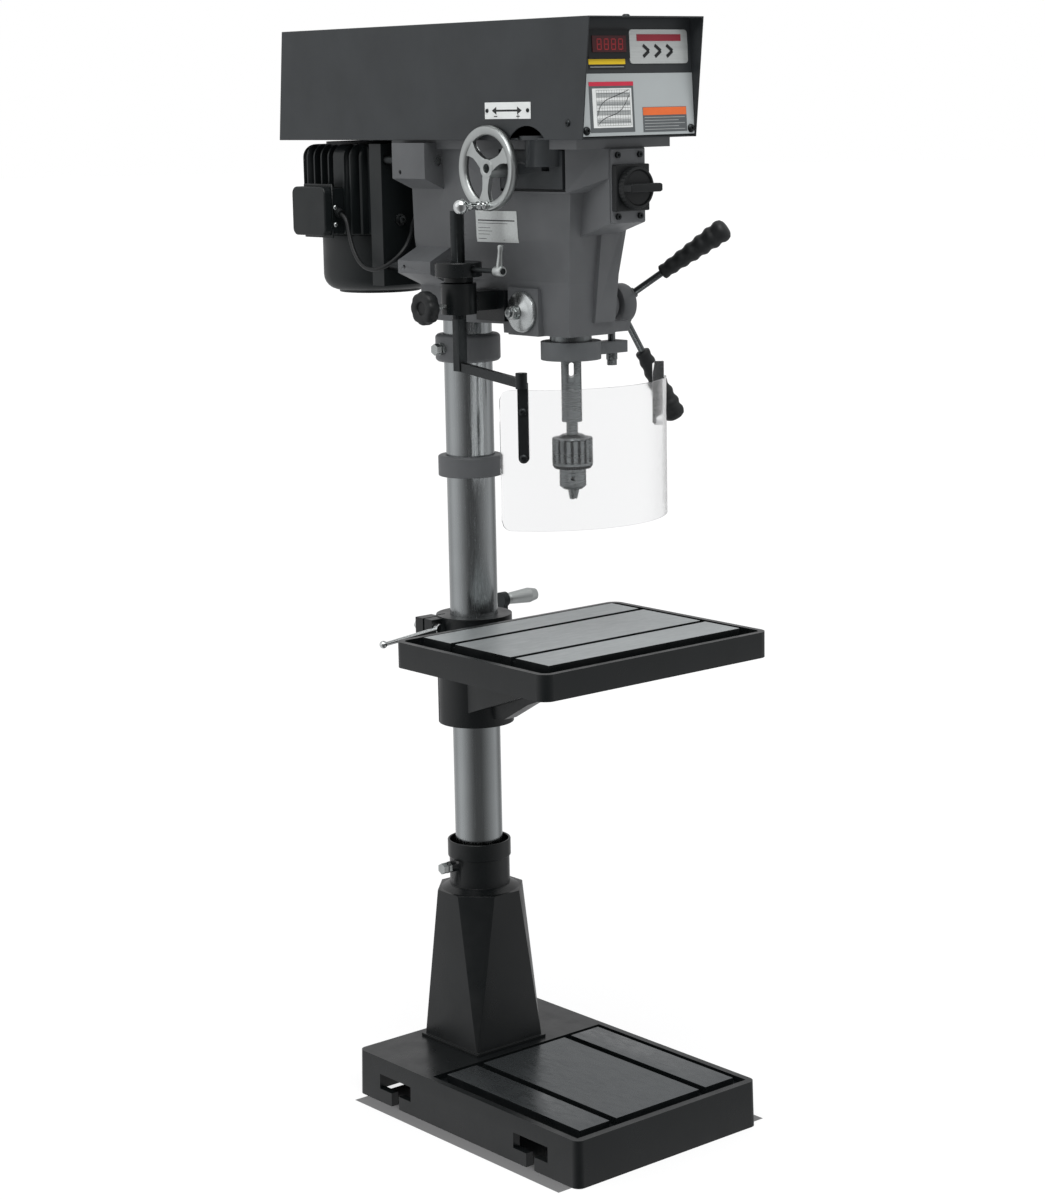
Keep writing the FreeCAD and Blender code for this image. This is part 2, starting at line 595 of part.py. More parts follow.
def make_front_details():
    """Switch plate, black switch body and its dial."""
    plate = block(("-plate_half", "plate_half"), ("-box_front - 3", "-box_front"), ("plate_low", "plate_high"))
    node(plate, "switch_plate")
    face = "-box_front - 3"
    body = block(("-switch_half + 1", "switch_half - 1"), (f"{face} - 11", face),
                 ("switch_z - switch_half", "switch_z + switch_half"))
    node(cut(body, rod(6.4, 20, (0, f"{face} - 5", "switch_z"), "-y")), "switch_base")
    dial_y = f"{face} - 11.4"
    dial = rod("dial_radius", 13, (0, dial_y, "switch_z"), "-y")
    handle = block(("-dial_radius + 1", "dial_radius + 2"), (f"{dial_y} - 30", dial_y),
                   ("switch_z - 8", "switch_z + 8"))
    stem = rod(6, 16, (0, f"{face} - 6", "switch_z"), "-y")
    node(fuse(dial, handle, stem), "switch_knob")


# ------------------------------------------------------------------ quill, spindle and chuck

def make_quill():
    """Quill sleeve with feed teeth cut in its back."""
    body = doc.addObject("PartDesign::Body", "Quill")
    bearing = "30 + seat_gap"
    profile = outline(body, "XZ", [(bearing, "quill_low"), ("quill_radius", "quill_low"),
                                   ("quill_radius", "quill_high"), (bearing, "quill_high"),
                                   (bearing, "quill_high - 22"), (18, "quill_high - 22"),
                                   (18, "quill_low + 22"), (bearing, "quill_low + 22")], "Profile")
    spin = body.newObject("PartDesign::Revolution", "Sleeve")
    spin.Profile = profile
    spin.ReferenceAxis = (profile, ["V_Axis"])
    spin.Angle = 360
    low = "quill_rack_low"
    gap = outline(body, "YZ", [("quill_radius - quill_tooth", f"{low} + 4"),
                               ("quill_radius - quill_tooth", f"{low} + 9"),
                               ("quill_radius + 2", f"{low} + 12"), ("quill_radius + 2", f"{low} + 1")], "Gap")
    space = body.newObject("PartDesign::Pocket", "Space")
    space.Profile = gap
    space.Length = 24
    space.SideType = "Symmetric"
    row = body.newObject("PartDesign::LinearPattern", "Row")
    row.Originals = [space]
    axis = [item for item in body.Origin.OriginFeatures if item.Role == "Z_Axis"][0]
    row.Direction = (axis, [""])
    row.setExpression("Length", formula("quill_pitch * (quill_teeth - 1)"))
    row.setExpression("Occurrences", formula("quill_teeth"))
    body.Tip = row
    return node(place(body, (0, "spindle_y", 0)), "quill")


def make_quill_collar():
    """Clamp collar on the quill with an arm for the depth stop."""
    height = "collar_head - collar_foot"
    ring = rod("collar_r", height, (0, "spindle_y", "collar_foot"))
    arm = block((20, "stop_x + 22"), ("spindle_y - 14", "spindle_y + 14"), ("collar_foot + 4", "collar_head - 6"))
    bore = rod("quill_radius + seat_gap", height, (0, "spindle_y", "collar_foot"))
    hole = rod("6 + seat_gap", 50, ("stop_x", "spindle_y", "collar_foot - 5"))
    return node(cut(fuse(ring, arm), bore, hole), "quill_collar")


def make_stop_rod():
    """Threaded depth-stop rod with its bottom nut, and two stop nuts near the top."""
    post = rod(6, 208, ("stop_x", "spindle_y", 1256))
    bush = rod(9, 11, ("stop_x", "spindle_y", "collar_foot - 7"))
    nut = hex_head(8.5, 9, ("stop_x", "spindle_y", "collar_foot - 16"), "z")
    tops = []
    for level in (1441, 1451):
        tops.append(cut(rod(13, 9, ("stop_x", "spindle_y", level)),
                        rod("6 + seat_gap", 9, ("stop_x", "spindle_y", level))))
    return node(group(fuse(post, bush, nut), *tops), "stop_rod")


def make_spindle_bearings():
    """Bearing rings pressed in the quill's two ends."""
    rings = [tube(30, "spindle_neck + run_gap", 17, (0, "spindle_y", level))
             for level in ("quill_low + 3", "quill_high - 20")]
    return node(group(*rings), "spindle_bearings")


def make_spindle():
    """Spindle: nose with drift slot, bearing journal, and the long splined drive end."""
    profile = [(0, "spindle_foot"), ("spindle_radius", "spindle_foot"), ("spindle_radius", "quill_low - 0.6"),
               ("spindle_neck", "quill_low - 0.6"), ("spindle_neck", "quill_high + 6"),
               ("drive_radius", "quill_high + 10"), ("drive_radius", "spindle_head"), (0, "spindle_head")]
    body = turned(profile, (0, "spindle_y", 0))
    across = Rotation(Vector(0, 0, 1), 50)
    centre = Vector(0, size("spindle_y"), 0)
    slot = [bar(60, 8, 16, FreeCAD.Placement(centre + across.multVec(Vector(-30, 0, 0)) + Vector(0, 0, 1239), across))]
    for level in (1239, 1255):
        end = rod(4, 60)
        end.Placement = FreeCAD.Placement(centre + across.multVec(Vector(-30, 0, 0)) + Vector(0, 0, level),
                                          across * TURNS["x"])
        slot.append(end)
    taper = cone(9.3, 8.3, 27, (0, "spindle_y", "spindle_foot - 1"))
    return node(cut(body, *slot, taper), "spindle")


def make_chuck_body():
    """Chuck body with its arbor, a central drill bore and three leaning jaw bores."""
    profile = [(0, "chuck_top + 44"), ("arbor_radius - 0.9", "chuck_top + 42"), ("arbor_radius", "chuck_top + 19"),
               ("arbor_radius", "chuck_top"), ("core_radius - 8", "chuck_top"), ("core_radius", "grip_high"),
               ("core_radius", "grip_low - 0.6"), ("jaw_house", "grip_low - 0.6"),
               ("jaw_house", "jaw_house_low + 5"), ("jaw_house - 6", "jaw_house_low"), (0, "jaw_house_low")]
    body = turned(profile, (0, "spindle_y", 0))
    bore = rod("drill_bore", 34, (0, "spindle_y", "jaw_house_low - 1"))
    bores = [jaw_rod(index, "jaw_radius + run_gap", 70) for index in range(3)]
    key_hole = rod(3.5, 14)
    mouth = FreeCAD.Placement(Vector(0, size("spindle_y") - 24, size("jaw_house_low") + 18), TURNS["y"])
    key_hole.Placement = turned_about_spindle(mouth, -40)
    return node(cut(body, bore, key_hole, *bores), "chuck_body")


def turned_about_spindle(placement, angle):
    """A placement carried round the spindle axis."""
    centre = Vector(0, size("spindle_y"), 0)
    return FreeCAD.Placement(Vector(), Rotation(Vector(0, 0, 1), angle), centre).multiply(placement)


def jaw_rod(index, radius, length):
    """Round jaw bar that leans out from the drill axis."""
    item = doc.addObject("Part::Cylinder", "Jaw")
    item.setExpression("Radius", formula(radius))
    item.Height = length
    heading = 120 * index + 90
    lean = Rotation(Vector(0, 1, 0), size("jaw_lean"))
    turn = Rotation(Vector(0, 0, 1), heading)
    foot = turn.multVec(Vector(size("jaw_offset"), 0, 0))
    item.Placement = FreeCAD.Placement(foot + Vector(0, size("spindle_y"), size("jaw_tip")), turn * lean)
    return item


def make_chuck_jaws():
    """Three jaws, each cut back to its own third so that they close on the axis."""
    for index in range(3):
        bar = jaw_rod(index, "jaw_radius", size("jaw_reach"))
        third = slab("XY", [(0.3, 0), (30, -51), (30, 51)], 140, (0, 0, 0))
        turn = Rotation(Vector(0, 0, 1), 120 * index + 90)
        third.Placement = FreeCAD.Placement(Vector(0, size("spindle_y"), size("jaw_tip")), turn)
        node(common(bar, third), f"chuck_jaw_{index + 1}")


def make_chuck_sleeve():
    """Fluted sleeve with the key's bevel ring at its foot."""
    profile = [("core_radius + run_gap", "grip_low"), ("grip_radius - 1", "grip_low"),
               ("grip_radius", "grip_low + 1"), ("grip_radius", "grip_high - 2"),
               ("grip_radius - 2", "grip_high"), ("core_radius + run_gap", "grip_high")]
    sleeve = turned(profile, (0, "spindle_y", 0))
    flutes = []
    count = 18
    for index in range(count):
        angle = 2 * math.pi * index / count
        reach = size("grip_radius") + 0.6
        flutes.append(rod(2.2, "grip_high - grip_low - 8",
                          (round(reach * math.cos(angle), 4),
                           f"spindle_y + {round(reach * math.sin(angle), 4)}", "grip_low + 8")))
    return node(cut(sleeve, *flutes), "chuck_sleeve")


# ------------------------------------------------------------------ quill feed

def make_pinion_shaft():
    """Feed shaft with its pinion and the nut end outside the spring."""
    shaft = rod("feed_shaft", "hub_far + spring_seat + 4", ("-spring_seat - 4", "feed_y", "feed_z"), "x")
    pinion = rod("feed_tip", 80, (-40, "feed_y", "feed_z"), "x")
    end = rod(7, 24, ("-spring_face - 18", "feed_y", "feed_z"), "x")
    return node(fuse(shaft, pinion, end), "pinion_shaft")


def spoke_place(index, along):
    """Placement on one of the three handle axes, which lean away from the head."""
    tilt = math.radians(size("spoke_first") + 120 * index)
    lean = math.radians(size("spoke_lean"))
    ray = Vector(math.sin(lean), -math.cos(lean) * math.cos(tilt), math.cos(lean) * math.sin(tilt))
    centre = Vector(size("hub_near") / 2 + size("hub_far") / 2, size("feed_y"), size("feed_z"))
    return FreeCAD.Placement(centre + ray * along, Rotation(Vector(0, 0, 1), ray))


def make_feed_handles():
    """Hub, three spokes and three ribbed grips."""
    hub = rod("hub_radius", "hub_far - hub_near", ("hub_near", "feed_y", "feed_z"), "x")
    bore = rod("feed_shaft + seat_gap", "hub_far - hub_near", ("hub_near", "feed_y", "feed_z"), "x")
    sockets = []
    spokes = []
    grips = []
    length = "grip_end - grip_start"
    profile = [(0, 0), ("grip_small", 0), ("grip_small", 6), ("grip_small - 2", 16), ("grip_small + 1", 34),
               ("grip_small", 44), ("grip_small + 2.5", 60), ("grip_small + 1.5", 72), ("grip_small + 4", 88),
               ("grip_small + 3", 102), ("grip_large", f"{length} - 8"), ("grip_large - 5", length), (0, length)]
    for index in range(3):
        socket = rod("spoke_radius", "spoke_end - spoke_start")
        socket.Placement = spoke_place(index, size("spoke_start"))
        sockets.append(socket)
        spoke = rod("spoke_radius", "grip_start - spoke_start")
        spoke.Placement = spoke_place(index, size("spoke_start"))
        spokes.append(spoke)
        grip = turned(profile)
        grip.Placement = spoke_place(index, size("grip_start"))
        grips.append(grip)
    node(cut(hub, bore, *sockets), "feed_hub")
    node(group(*spokes), "feed_spokes")
    node(group(*grips), "feed_grips")


def make_spring_housing():
    """Polished return-spring cap with the coiled spring inside it."""
    cap = [("7 + run_gap", 0), (14, 1), ("spring_radius - 4", -3), ("spring_radius", -6),
           ("spring_radius", -14), ("spring_radius - 2", -14), ("spring_radius - 2", -6.6),
           ("spring_radius - 4.6", -5), (14, -1.4), ("7 + run_gap", -1.4)]
    shell = turned(cap, ("-spring_face", "feed_y", "feed_z"), "-x")
    springs = []
    for radius in (17, 20.5, 24):
        springs.append(tube(radius, f"{radius} - 0.8", 7, ("-spring_seat - 1", "feed_y", "feed_z"), "-x"))
    return node(group(shell, *springs), "spring_housing")


# ------------------------------------------------------------------ belt cover

def cover_side(inset, low, front):
    """Side outline of the cover, leaning forward, drawn in by inset."""
    return [(f"-cover_front_low + {front}", low), (f"cover_rear_low - {inset}", low),
            (f"cover_rear_high - {inset}", f"cover_high - {inset}"),
            (f"-cover_front_high + {front}", f"cover_high - {inset}")]


def make_belt_cover():
    """Folded sheet cover, open below and at its front, with a half-round notch on the left."""
    outer = slab("YZ", cover_side("0", "cover_low", "0"), "2 * cover_half")
    inner = slab("YZ", cover_side("cover_wall", "cover_low - 5", "-30"), "2 * cover_half - 2 * cover_wall")
    notch = rod("notch_radius", 20, ("-cover_half - 8", "notch_y", "notch_z"), "x")
    return node(cut(outer, inner, notch), "belt_cover")


def make_cover_base():
    """Pan that closes the cover's underside, with holes for the two drives."""
    half = "cover_half - cover_wall - 0.4"
    pan = block((f"-{half}", half), ("-cover_front_low + 6", "cover_rear_low - 8"), ("cover_low", "pan_top"))
    pan.setExpression("Length", formula("2 * (cover_half - cover_wall - 0.4)"))
    pan.setExpression("Placement.Base.x", formula("-(cover_half - cover_wall - 0.4)"))
    holes = [rod(42, 20, (0, "spindle_y", "cover_low - 5")), rod(40, 20, (0, "motor_y", "cover_low - 5")),
             rod("tower_radius + 10", 20, ("tower_x", "tower_y", "cover_low - 5"))]
    return node(cut(pan, *holes), "cover_base")


def make_front_panel():
    """Instrument panel set back in the cover's front."""
    points = [("panel_low_y", "pan_top + 0.6"), ("panel_low_y + panel_wall", "pan_top + 0.6"),
              ("panel_high_y + panel_wall", "cover_high - cover_wall - 0.5"),
              ("panel_high_y", "cover_high - cover_wall - 0.5")]
    node(slab("YZ", points, "2 * cover_half - 2 * cover_wall - 0.8"), "front_panel")
    bezel = slab("YZ", [("panel_high_y - 3.6", 1722), ("panel_high_y - 7.6", 1722), ("panel_high_y - 5.2", 1764),
                        ("panel_high_y - 1.1", 1764)], 83, (-56.5, 0, 0))
    window = block((-90, -23), ("panel_high_y - 12", "panel_high_y - 4.8"), (1731, 1755))
    return node(cut(bezel, window), "speed_readout")


# ------------------------------------------------------------------ drive

def make_motor():
    """Motor frame with square-set fins, fan cowl, wiring box and its lid."""
    height = "frame_high - frame_low"
    centre = (0, "motor_y", "frame_low")
    core = rod("frame_radius", height, centre)
    levels = ("frame_low + 3", "frame_high - 4")
    sides = ("motor_y - fin_half", "motor_y + fin_half")
    square = rounded(block(("-fin_half", "fin_half"), sides, levels), "fin_corner", upright)
    envelope = rounded(square, "fin_crown", lambda edge: edge.BoundBox.ZMin > size("frame_high") - 5)
    fins = []
    for index in range(-4, 5):
        offset = f"{index} * fin_step"
        fins.append(block(("-fin_half", "fin_half"),
                          (f"motor_y + {offset} - fin_thick / 2", f"motor_y + {offset} + fin_thick / 2"), levels))
        fins.append(block((f"{offset} - fin_thick / 2", f"{offset} + fin_thick / 2"), sides, levels))
    fins.append(block(("-fin_half", "fin_half"), ("motor_y - 44", "motor_y - 14"), levels))
    fins.append(block((-70, 70), ("motor_y - fin_half", "motor_y + fin_half - 10"), levels))
    feet = [block((side, f"{side} + 30"), ("bracket_front + bracket_web", "motor_y - 60"), (low, f"{low} + 24"))
            for side in (-58, 28) for low in (1462, 1560)]
    rings = [rod("cowl_radius", 7, centre), rod("fin_half - fin_crown", 12, (0, "motor_y", "frame_high - 12"))]
    pocket = block(("-wiring_face - 5", -80), ("wiring_front + 3", "wiring_rear - 3"),
                   ("wiring_low + 2", "wiring_high - 2"))
    bore = rod("motor_shaft + run_gap", 300, (0, "motor_y", 1400))
    chamber = rod(60, 110, (0, "motor_y", 1462))
    body = cut(fuse(core, common(fuse(*fins), envelope), *feet, *rings), pocket, bore, chamber)
    node(body, "motor_frame")
    outside = []
    inside = []
    for step in range(7):
        across = round(math.sin(math.radians(15 * step)), 4)
        up = round(1 - math.cos(math.radians(15 * step)), 4)
        outside.append((f"cowl_radius - cowl_bend + cowl_bend * {across}", f"cowl_low + cowl_bend * {up}"))
        inside.append((f"cowl_radius - cowl_bend + cowl_bend * {across} - 2 * {across}",
                       f"cowl_low + 2 + cowl_bend * {up} - 2 * {up}"))
    shell = [(14, "cowl_low - 4"), ("cowl_radius - cowl_bend", "cowl_low - 4"), *outside,
             ("cowl_radius", "frame_low - 0.3"), ("cowl_radius - 2", "frame_low - 0.3"), *reversed(inside),
             (14, "cowl_low + 2")]
    node(turned(shell, (0, "motor_y", 0)), "motor_cowl")
    back = "-wiring_face + lid_depth"
    flange = block((back, f"{back} + 3"), ("wiring_front + 1", "wiring_rear - 12"),
                   ("wiring_low - 4", "wiring_high + 4"))
    box = block((back, -81), ("wiring_front + 4", "wiring_rear - 4"), ("wiring_low + 3", "wiring_high - 3"))
    inside = block((f"{back} - 1", -84), ("wiring_front + 7", "wiring_rear - 7"),
                   ("wiring_low + 6", "wiring_high - 6"))
    gland_hole = rod(6, 20, (-115, "wiring_front - 5", 1488), "y")
    node(cut(fuse(flange, box), inside, gland_hole), "terminal_box")
    lid = block(("-wiring_face", back), ("wiring_front", "wiring_rear"), ("wiring_low", "wiring_high"))
    lid_round = rounded(lid, 12, lambda edge: abs(edge.tangentAt(edge.FirstParameter).x) > 0.95)
    node(lid_round, "terminal_lid")


def make_motor_bracket():
    """Folded channel that carries the motor on the head's four slide rods."""
    web = block(("-bracket_half", "bracket_half"), ("bracket_front", "bracket_front + bracket_web"),
                ("bracket_low", "bracket_high"))
    left = block(("-bracket_half", "-bracket_half + bracket_web"), ("bracket_front", "bracket_flange"),
                 ("bracket_low", "bracket_high"))
    holes = [rod("rod_radius + seat_gap", 20, (side, 85, level), "y")
             for side in ("-rod_x", "rod_x") for level in ("rod_low", "rod_high")]
    return node(cut(fuse(web, left, mirrored(left)), *holes), "motor_bracket")


def make_motor_rotor():
    """Motor shaft with its rotor and cooling fan."""
    shaft = rod("motor_shaft", 370, (0, "motor_y", 1372))
    rotor = rod(56, 90, (0, "motor_y", 1474))
    hub = rod(24, 22, (0, "motor_y", 1390))
    blades = []
    for index in range(8):
        turn = Rotation(Vector(0, 0, 1), 45 * index)
        root = Vector(0, size("motor_y"), 1388) + turn.multVec(Vector(20, 0, 0))
        blades.append(bar(58, 3, 26, FreeCAD.Placement(root, turn)))
    return node(fuse(shaft, rotor, hub, *blades), "motor_rotor")


def make_pulleys():
    """Two variable pulleys: each has a fixed half and a half that slides to change the speed."""
    sleeve = [("sleeve_bore", 1545), ("sleeve_shell", 1545), ("sleeve_shell", "belt_z + 4"),
              ("driven_radius", "belt_z + 17"), ("driven_radius", "belt_z + 23"), (34, "belt_z + 26"),
              (34, "belt_z + 50"), ("sleeve_bore", "belt_z + 50")]
    node(turned(sleeve, (0, "spindle_y", 0)), "spindle_pulley_fixed")
    sliding = [("sleeve_shell + run_gap", "belt_z - 4"), ("driven_radius", "belt_z - 17"),
               ("driven_radius", "belt_z - 23"), (34, "belt_z - 26"), (34, "belt_z - 62"),
               ("sleeve_shell + run_gap", "belt_z - 62")]
    node(turned(sliding, (0, "spindle_y", 0)), "spindle_pulley_moving")
    low = [("motor_shaft + seat_gap", "belt_z - 6"), (20, "belt_z - 6"), ("driver_radius", "belt_z - 18"),
           ("driver_radius", "belt_z - 24"), (26, "belt_z - 28"), (26, "belt_z - 44"),
           ("motor_shaft + seat_gap", "belt_z - 44")]
    node(turned(low, (0, "motor_y", 0)), "motor_pulley_fixed")
    high = [("motor_shaft + run_gap", "belt_z + 16"), (20, "belt_z + 16"), ("driver_radius", "belt_z + 28"),
            ("driver_radius", "belt_z + 34"), (26, "belt_z + 38"), (26, "belt_z + 52"),
            ("motor_shaft + run_gap", "belt_z + 52")]
    node(turned(high, (0, "motor_y", 0)), "motor_pulley_moving")


def belt_loop(extra):
    """Solid inside the belt's line, grown by extra: two discs and the quadrilateral between them."""
    large = size("driven_pitch") + extra
    small = size("driver_pitch") + extra
    span = size("motor_y") - size("spindle_y")
    lean = math.asin((large - small) / span)
    level = "belt_z - belt_half"
    discs = [rod(large, "2 * belt_half", (0, "spindle_y", level)), rod(small, "2 * belt_half", (0, "motor_y", level))]
    near = (round(large * math.cos(lean), 4), f"spindle_y + {round(large * math.sin(lean), 4)}")
    far = (round(small * math.cos(lean), 4), f"motor_y + {round(small * math.sin(lean), 4)}")
    middle = slab("XY", [(f"-{near[0]}", near[1]), near, far, (f"-{far[0]}", far[1])], "2 * belt_half",
                  (0, 0, "belt_z"))
    return fuse(*discs, middle)


def make_belt():
    """Wide belt round both pulleys."""
    return node(cut(belt_loop(size("belt_thick")), belt_loop(-size("belt_thick"))), "v_belt")


def make_speed_control():
    """Gear housing in the head's side, shift fork, shaft, handwheel and its revolving handle."""
    plate = block((-80, "-recess_floor"), (-335, -190), (1530, 1588))
    boss = rod(15, 20, ("-recess_floor", "wheel_y", "wheel_z"), "-x")
    tower = rod("tower_radius", 46, ("tower_x", "tower_y", 1564))
    rim = rod("tower_radius + 8", 6, ("tower_x", "tower_y", "flange_top + 0.2"))
    shaft_hole = rod("6.5 + run_gap", 60, (-50, "wheel_y", "wheel_z"), "-x")
    post_hole = rod("9 + run_gap", 90, ("tower_x", "tower_y", 1557))
    node(cut(fuse(plate, boss, tower, rim), shaft_hole, post_hole), "speed_gearbox")
    post = rod(9, 66, ("tower_x", "tower_y", 1574))
    yoke = block((-92, 44), (-306, -212), (1636, 1643))
    yoke_hole = rod("34 + run_gap", 20, (0, "spindle_y", 1630))
    node(cut(fuse(post, yoke), yoke_hole), "shift_fork")
    node(rod(6.5, 54, (-120, "wheel_y", "wheel_z"), "x"), "speed_shaft")
    rim = torus("wheel_radius - wheel_rim", "wheel_rim", ("wheel_x", "wheel_y", "wheel_z"), "x")
    hub = rod(15, 42, ("wheel_x - 4", "wheel_y", "wheel_z"), "x")
    bore = rod("6.5 + seat_gap", 60, ("wheel_x - 6", "wheel_y", "wheel_z"), "x")
    spokes = []
    for angle in (37, 157, 277):
        spin = Rotation(Vector(1, 0, 0), angle - 90)
        centre = Vector(size("wheel_x"), size("wheel_y"), size("wheel_z"))
        spokes.append(bar(8, 14, "wheel_radius - 8", FreeCAD.Placement(
            centre + spin.multVec(Vector(-4, 0, 0)), spin)))
    stud = rod(4, 40, ("wheel_x - 4", "wheel_y", "wheel_z - wheel_crank"), "-x")
    seat = rod(7, 8, ("wheel_x - 8.5", "wheel_y", "wheel_z - wheel_crank"), "x")
    node(cut(fuse(rim, hub, *spokes, stud, seat), bore), "handwheel")
    length = "wheel_x - 9 - handle_x"
    handle = [("4 + run_gap", 0), (6, 0), (6, 6), (5, 10), (7.5, 30), (5.5, 36), (9, 40), (12, 46), (12, 50),
              (9, 56), (4, 58), (0, 58), (0, 40), ("4 + run_gap", 38)]
    return node(turned(handle, ("wheel_x - 9", "wheel_y", "wheel_z - wheel_crank"), "-x"), "handwheel_handle")


# ------------------------------------------------------------------ chuck guard

def make_guard():
    """Guard post on the head, swivelling disc, sliding rod, arm, bar and clear curved shield."""
    axis = ("guard_x", "guard_y")
    body = rod("guard_body", "guard_body_high - guard_body_low", (*axis, "guard_body_low"))
    foot = block((-62, -44), (-170, -100), (1321, 1370))
    web = block((-110, -60), (-152, -118), (1340, 1370))
    bore = rod("16 + run_gap", 80, (*axis, "guard_body_low - 5"))
    knob_hole = rod("4 + run_gap", 40, ("guard_x - 12", "guard_y", 1349), "-x")
    node(cut(fuse(body, foot, web), bore, knob_hole, head_trunk(), rod("spring_radius + 2", 40,
         ("-spring_seat", "feed_y", "feed_z"), "-x")), "guard_bracket")
    disc = rod("disc_radius", "disc_high - disc_low", (*axis, "disc_low"))
    neck = rod(23, "disc_low - guard_body_high - 0.4", (*axis, "guard_body_high + 0.4"))
    sleeve = rod(16, "disc_low - guard_body_low", (*axis, "guard_body_low - 1"))
    rod_hole = rod("guard_rod + run_gap", 140, (*axis, 1320))
    lever_hole = rod("4 + run_gap", 60, ("guard_x", "guard_y - 14", 1406), "-y")
    node(cut(fuse(disc, neck, sleeve), rod_hole, lever_hole), "guard_swivel")
    post = rod("guard_rod", "guard_rod_top - 1328", (*axis, 1328))
    bar = block(("guard_x - bar_half", "guard_x + bar_half"), ("guard_y - bar_half", "guard_y + bar_half"),
                ("bar_low", 1330))
    node(fuse(post, bar), "guard_rod")
    make_guard_arm()
    make_shield()
    stud = rod(4, 30, ("guard_x - guard_body + 4", "guard_y", 1349), "-x")
    knob = rod(20, 24, ("guard_x - 54", "guard_y", 1349), "-x")
    lobes = []
    for index in range(8):
        angle = math.pi * index / 4
        lobes.append(rod(7, 24, ("guard_x - 54", f"guard_y + {round(19.5 * math.cos(angle), 4)}",
                                 round(1349 + 19.5 * math.sin(angle), 4)), "-x"))
    node(fuse(stud, knob, *lobes), "guard_knob")
    pin = rod(4, 76, ("guard_x", "guard_y - 20", 1406), "-y")
    hub = rod(8, 20, ("guard_x", "guard_y - 91", 1406), "-y")
    arm = cone(6, 4.5, 40, ("guard_x", "guard_y - 100", 1406))
    node(fuse(pin, hub, arm), "guard_lever")


def make_guard_arm():
    """Flat arm from the bar to the shield's pivot, and the upright strip that the shield is screwed to."""
    start = Vector(size("guard_x"), size("guard_y"), 0)
    finish = Vector(size("swing_x"), size("swing_y"), 0)
    along = finish - start
    heading = math.degrees(math.atan2(along.y, along.x))
    fall = math.degrees(math.atan2(size("arm_drop"), along.Length))
    turn = Rotation(Vector(0, 0, 1), heading) * Rotation(Vector(0, 1, 0), fall)
    gap = size("bar_half") + 1.1
    depth = 14
    root = start + Vector(0, 0, size("bar_low") + depth / 2)
    beam = bar(along.Length - gap, 10, depth, FreeCAD.Placement(root + turn.multVec(Vector(gap, 0, -depth / 2)), turn))
    pivot = rod(9, 24, ("swing_x", "swing_y", "bar_low - 12"))
    outward = Vector(size("swing_x"), size("swing_y") - size("shield_y"), 0)
    face = Rotation(Vector(0, 0, 1), math.degrees(math.atan2(outward.y, outward.x)))
    outward.normalize()
    spot = Vector(0, size("shield_y"), 0) + outward * (size("shield_radius") + 0.6)
    strip = bar(6, 16, 115, FreeCAD.Placement(spot + Vector(0, 0, 1127), face))
    foot = rod(8, 6)
    foot.Placement = FreeCAD.Placement(spot + Vector(0, 0, 1127), Rotation(Vector(0, 0, 1), outward))
    node(fuse(beam, pivot, strip, foot), "guard_arm")


def make_shield():
    """Clear sheet bent to an arc, with a finger tab folded inward at its free end."""
    sweep = size("shield_to") - size("shield_from")
    height = "shield_high - shield_low"
    turn = Rotation(Vector(0, 0, 1), size("shield_from"))
    outer = rod("shield_radius", height)
    outer.Angle = sweep
    outer.Placement = FreeCAD.Placement(Vector(0, size("shield_y"), size("shield_low")), turn)
    inner = rod("shield_radius - shield_wall", height)
    inner.Placement = outer.Placement
    edge = math.radians(size("shield_to") - 1.5)
    face = Rotation(Vector(0, 0, 1), size("shield_to") - 1.5)
    ray = Vector(math.cos(edge), math.sin(edge), 0)
    reach = 21
    tab = bar(reach, "shield_wall", 102, FreeCAD.Placement(
        Vector(0, size("shield_y"), 1150) + ray * (size("shield_radius") - reach), face))
    return node(fuse(cut(outer, inner), tab), "guard_shield")


# ------------------------------------------------------------------ motor lead

LEAD_ROUTE = [(-115, 183, 1484), (-115, 172, 1479.5), (-115.5, 165, 1466), (-117, 157, 1443), (-119, 144, 1421),
              (-122, 122, 1403), (-124, 98, 1396.5), (-123, 75, 1397.5), (-116, 57, 1405), (-104, 45, 1418),
              (-87.6, 42.4, 1435.6), (-70, 52.2, 1455.2), (-55, 67, 1473), (-45, 69, 1485)]
LEAD_RADIUS = 3.5


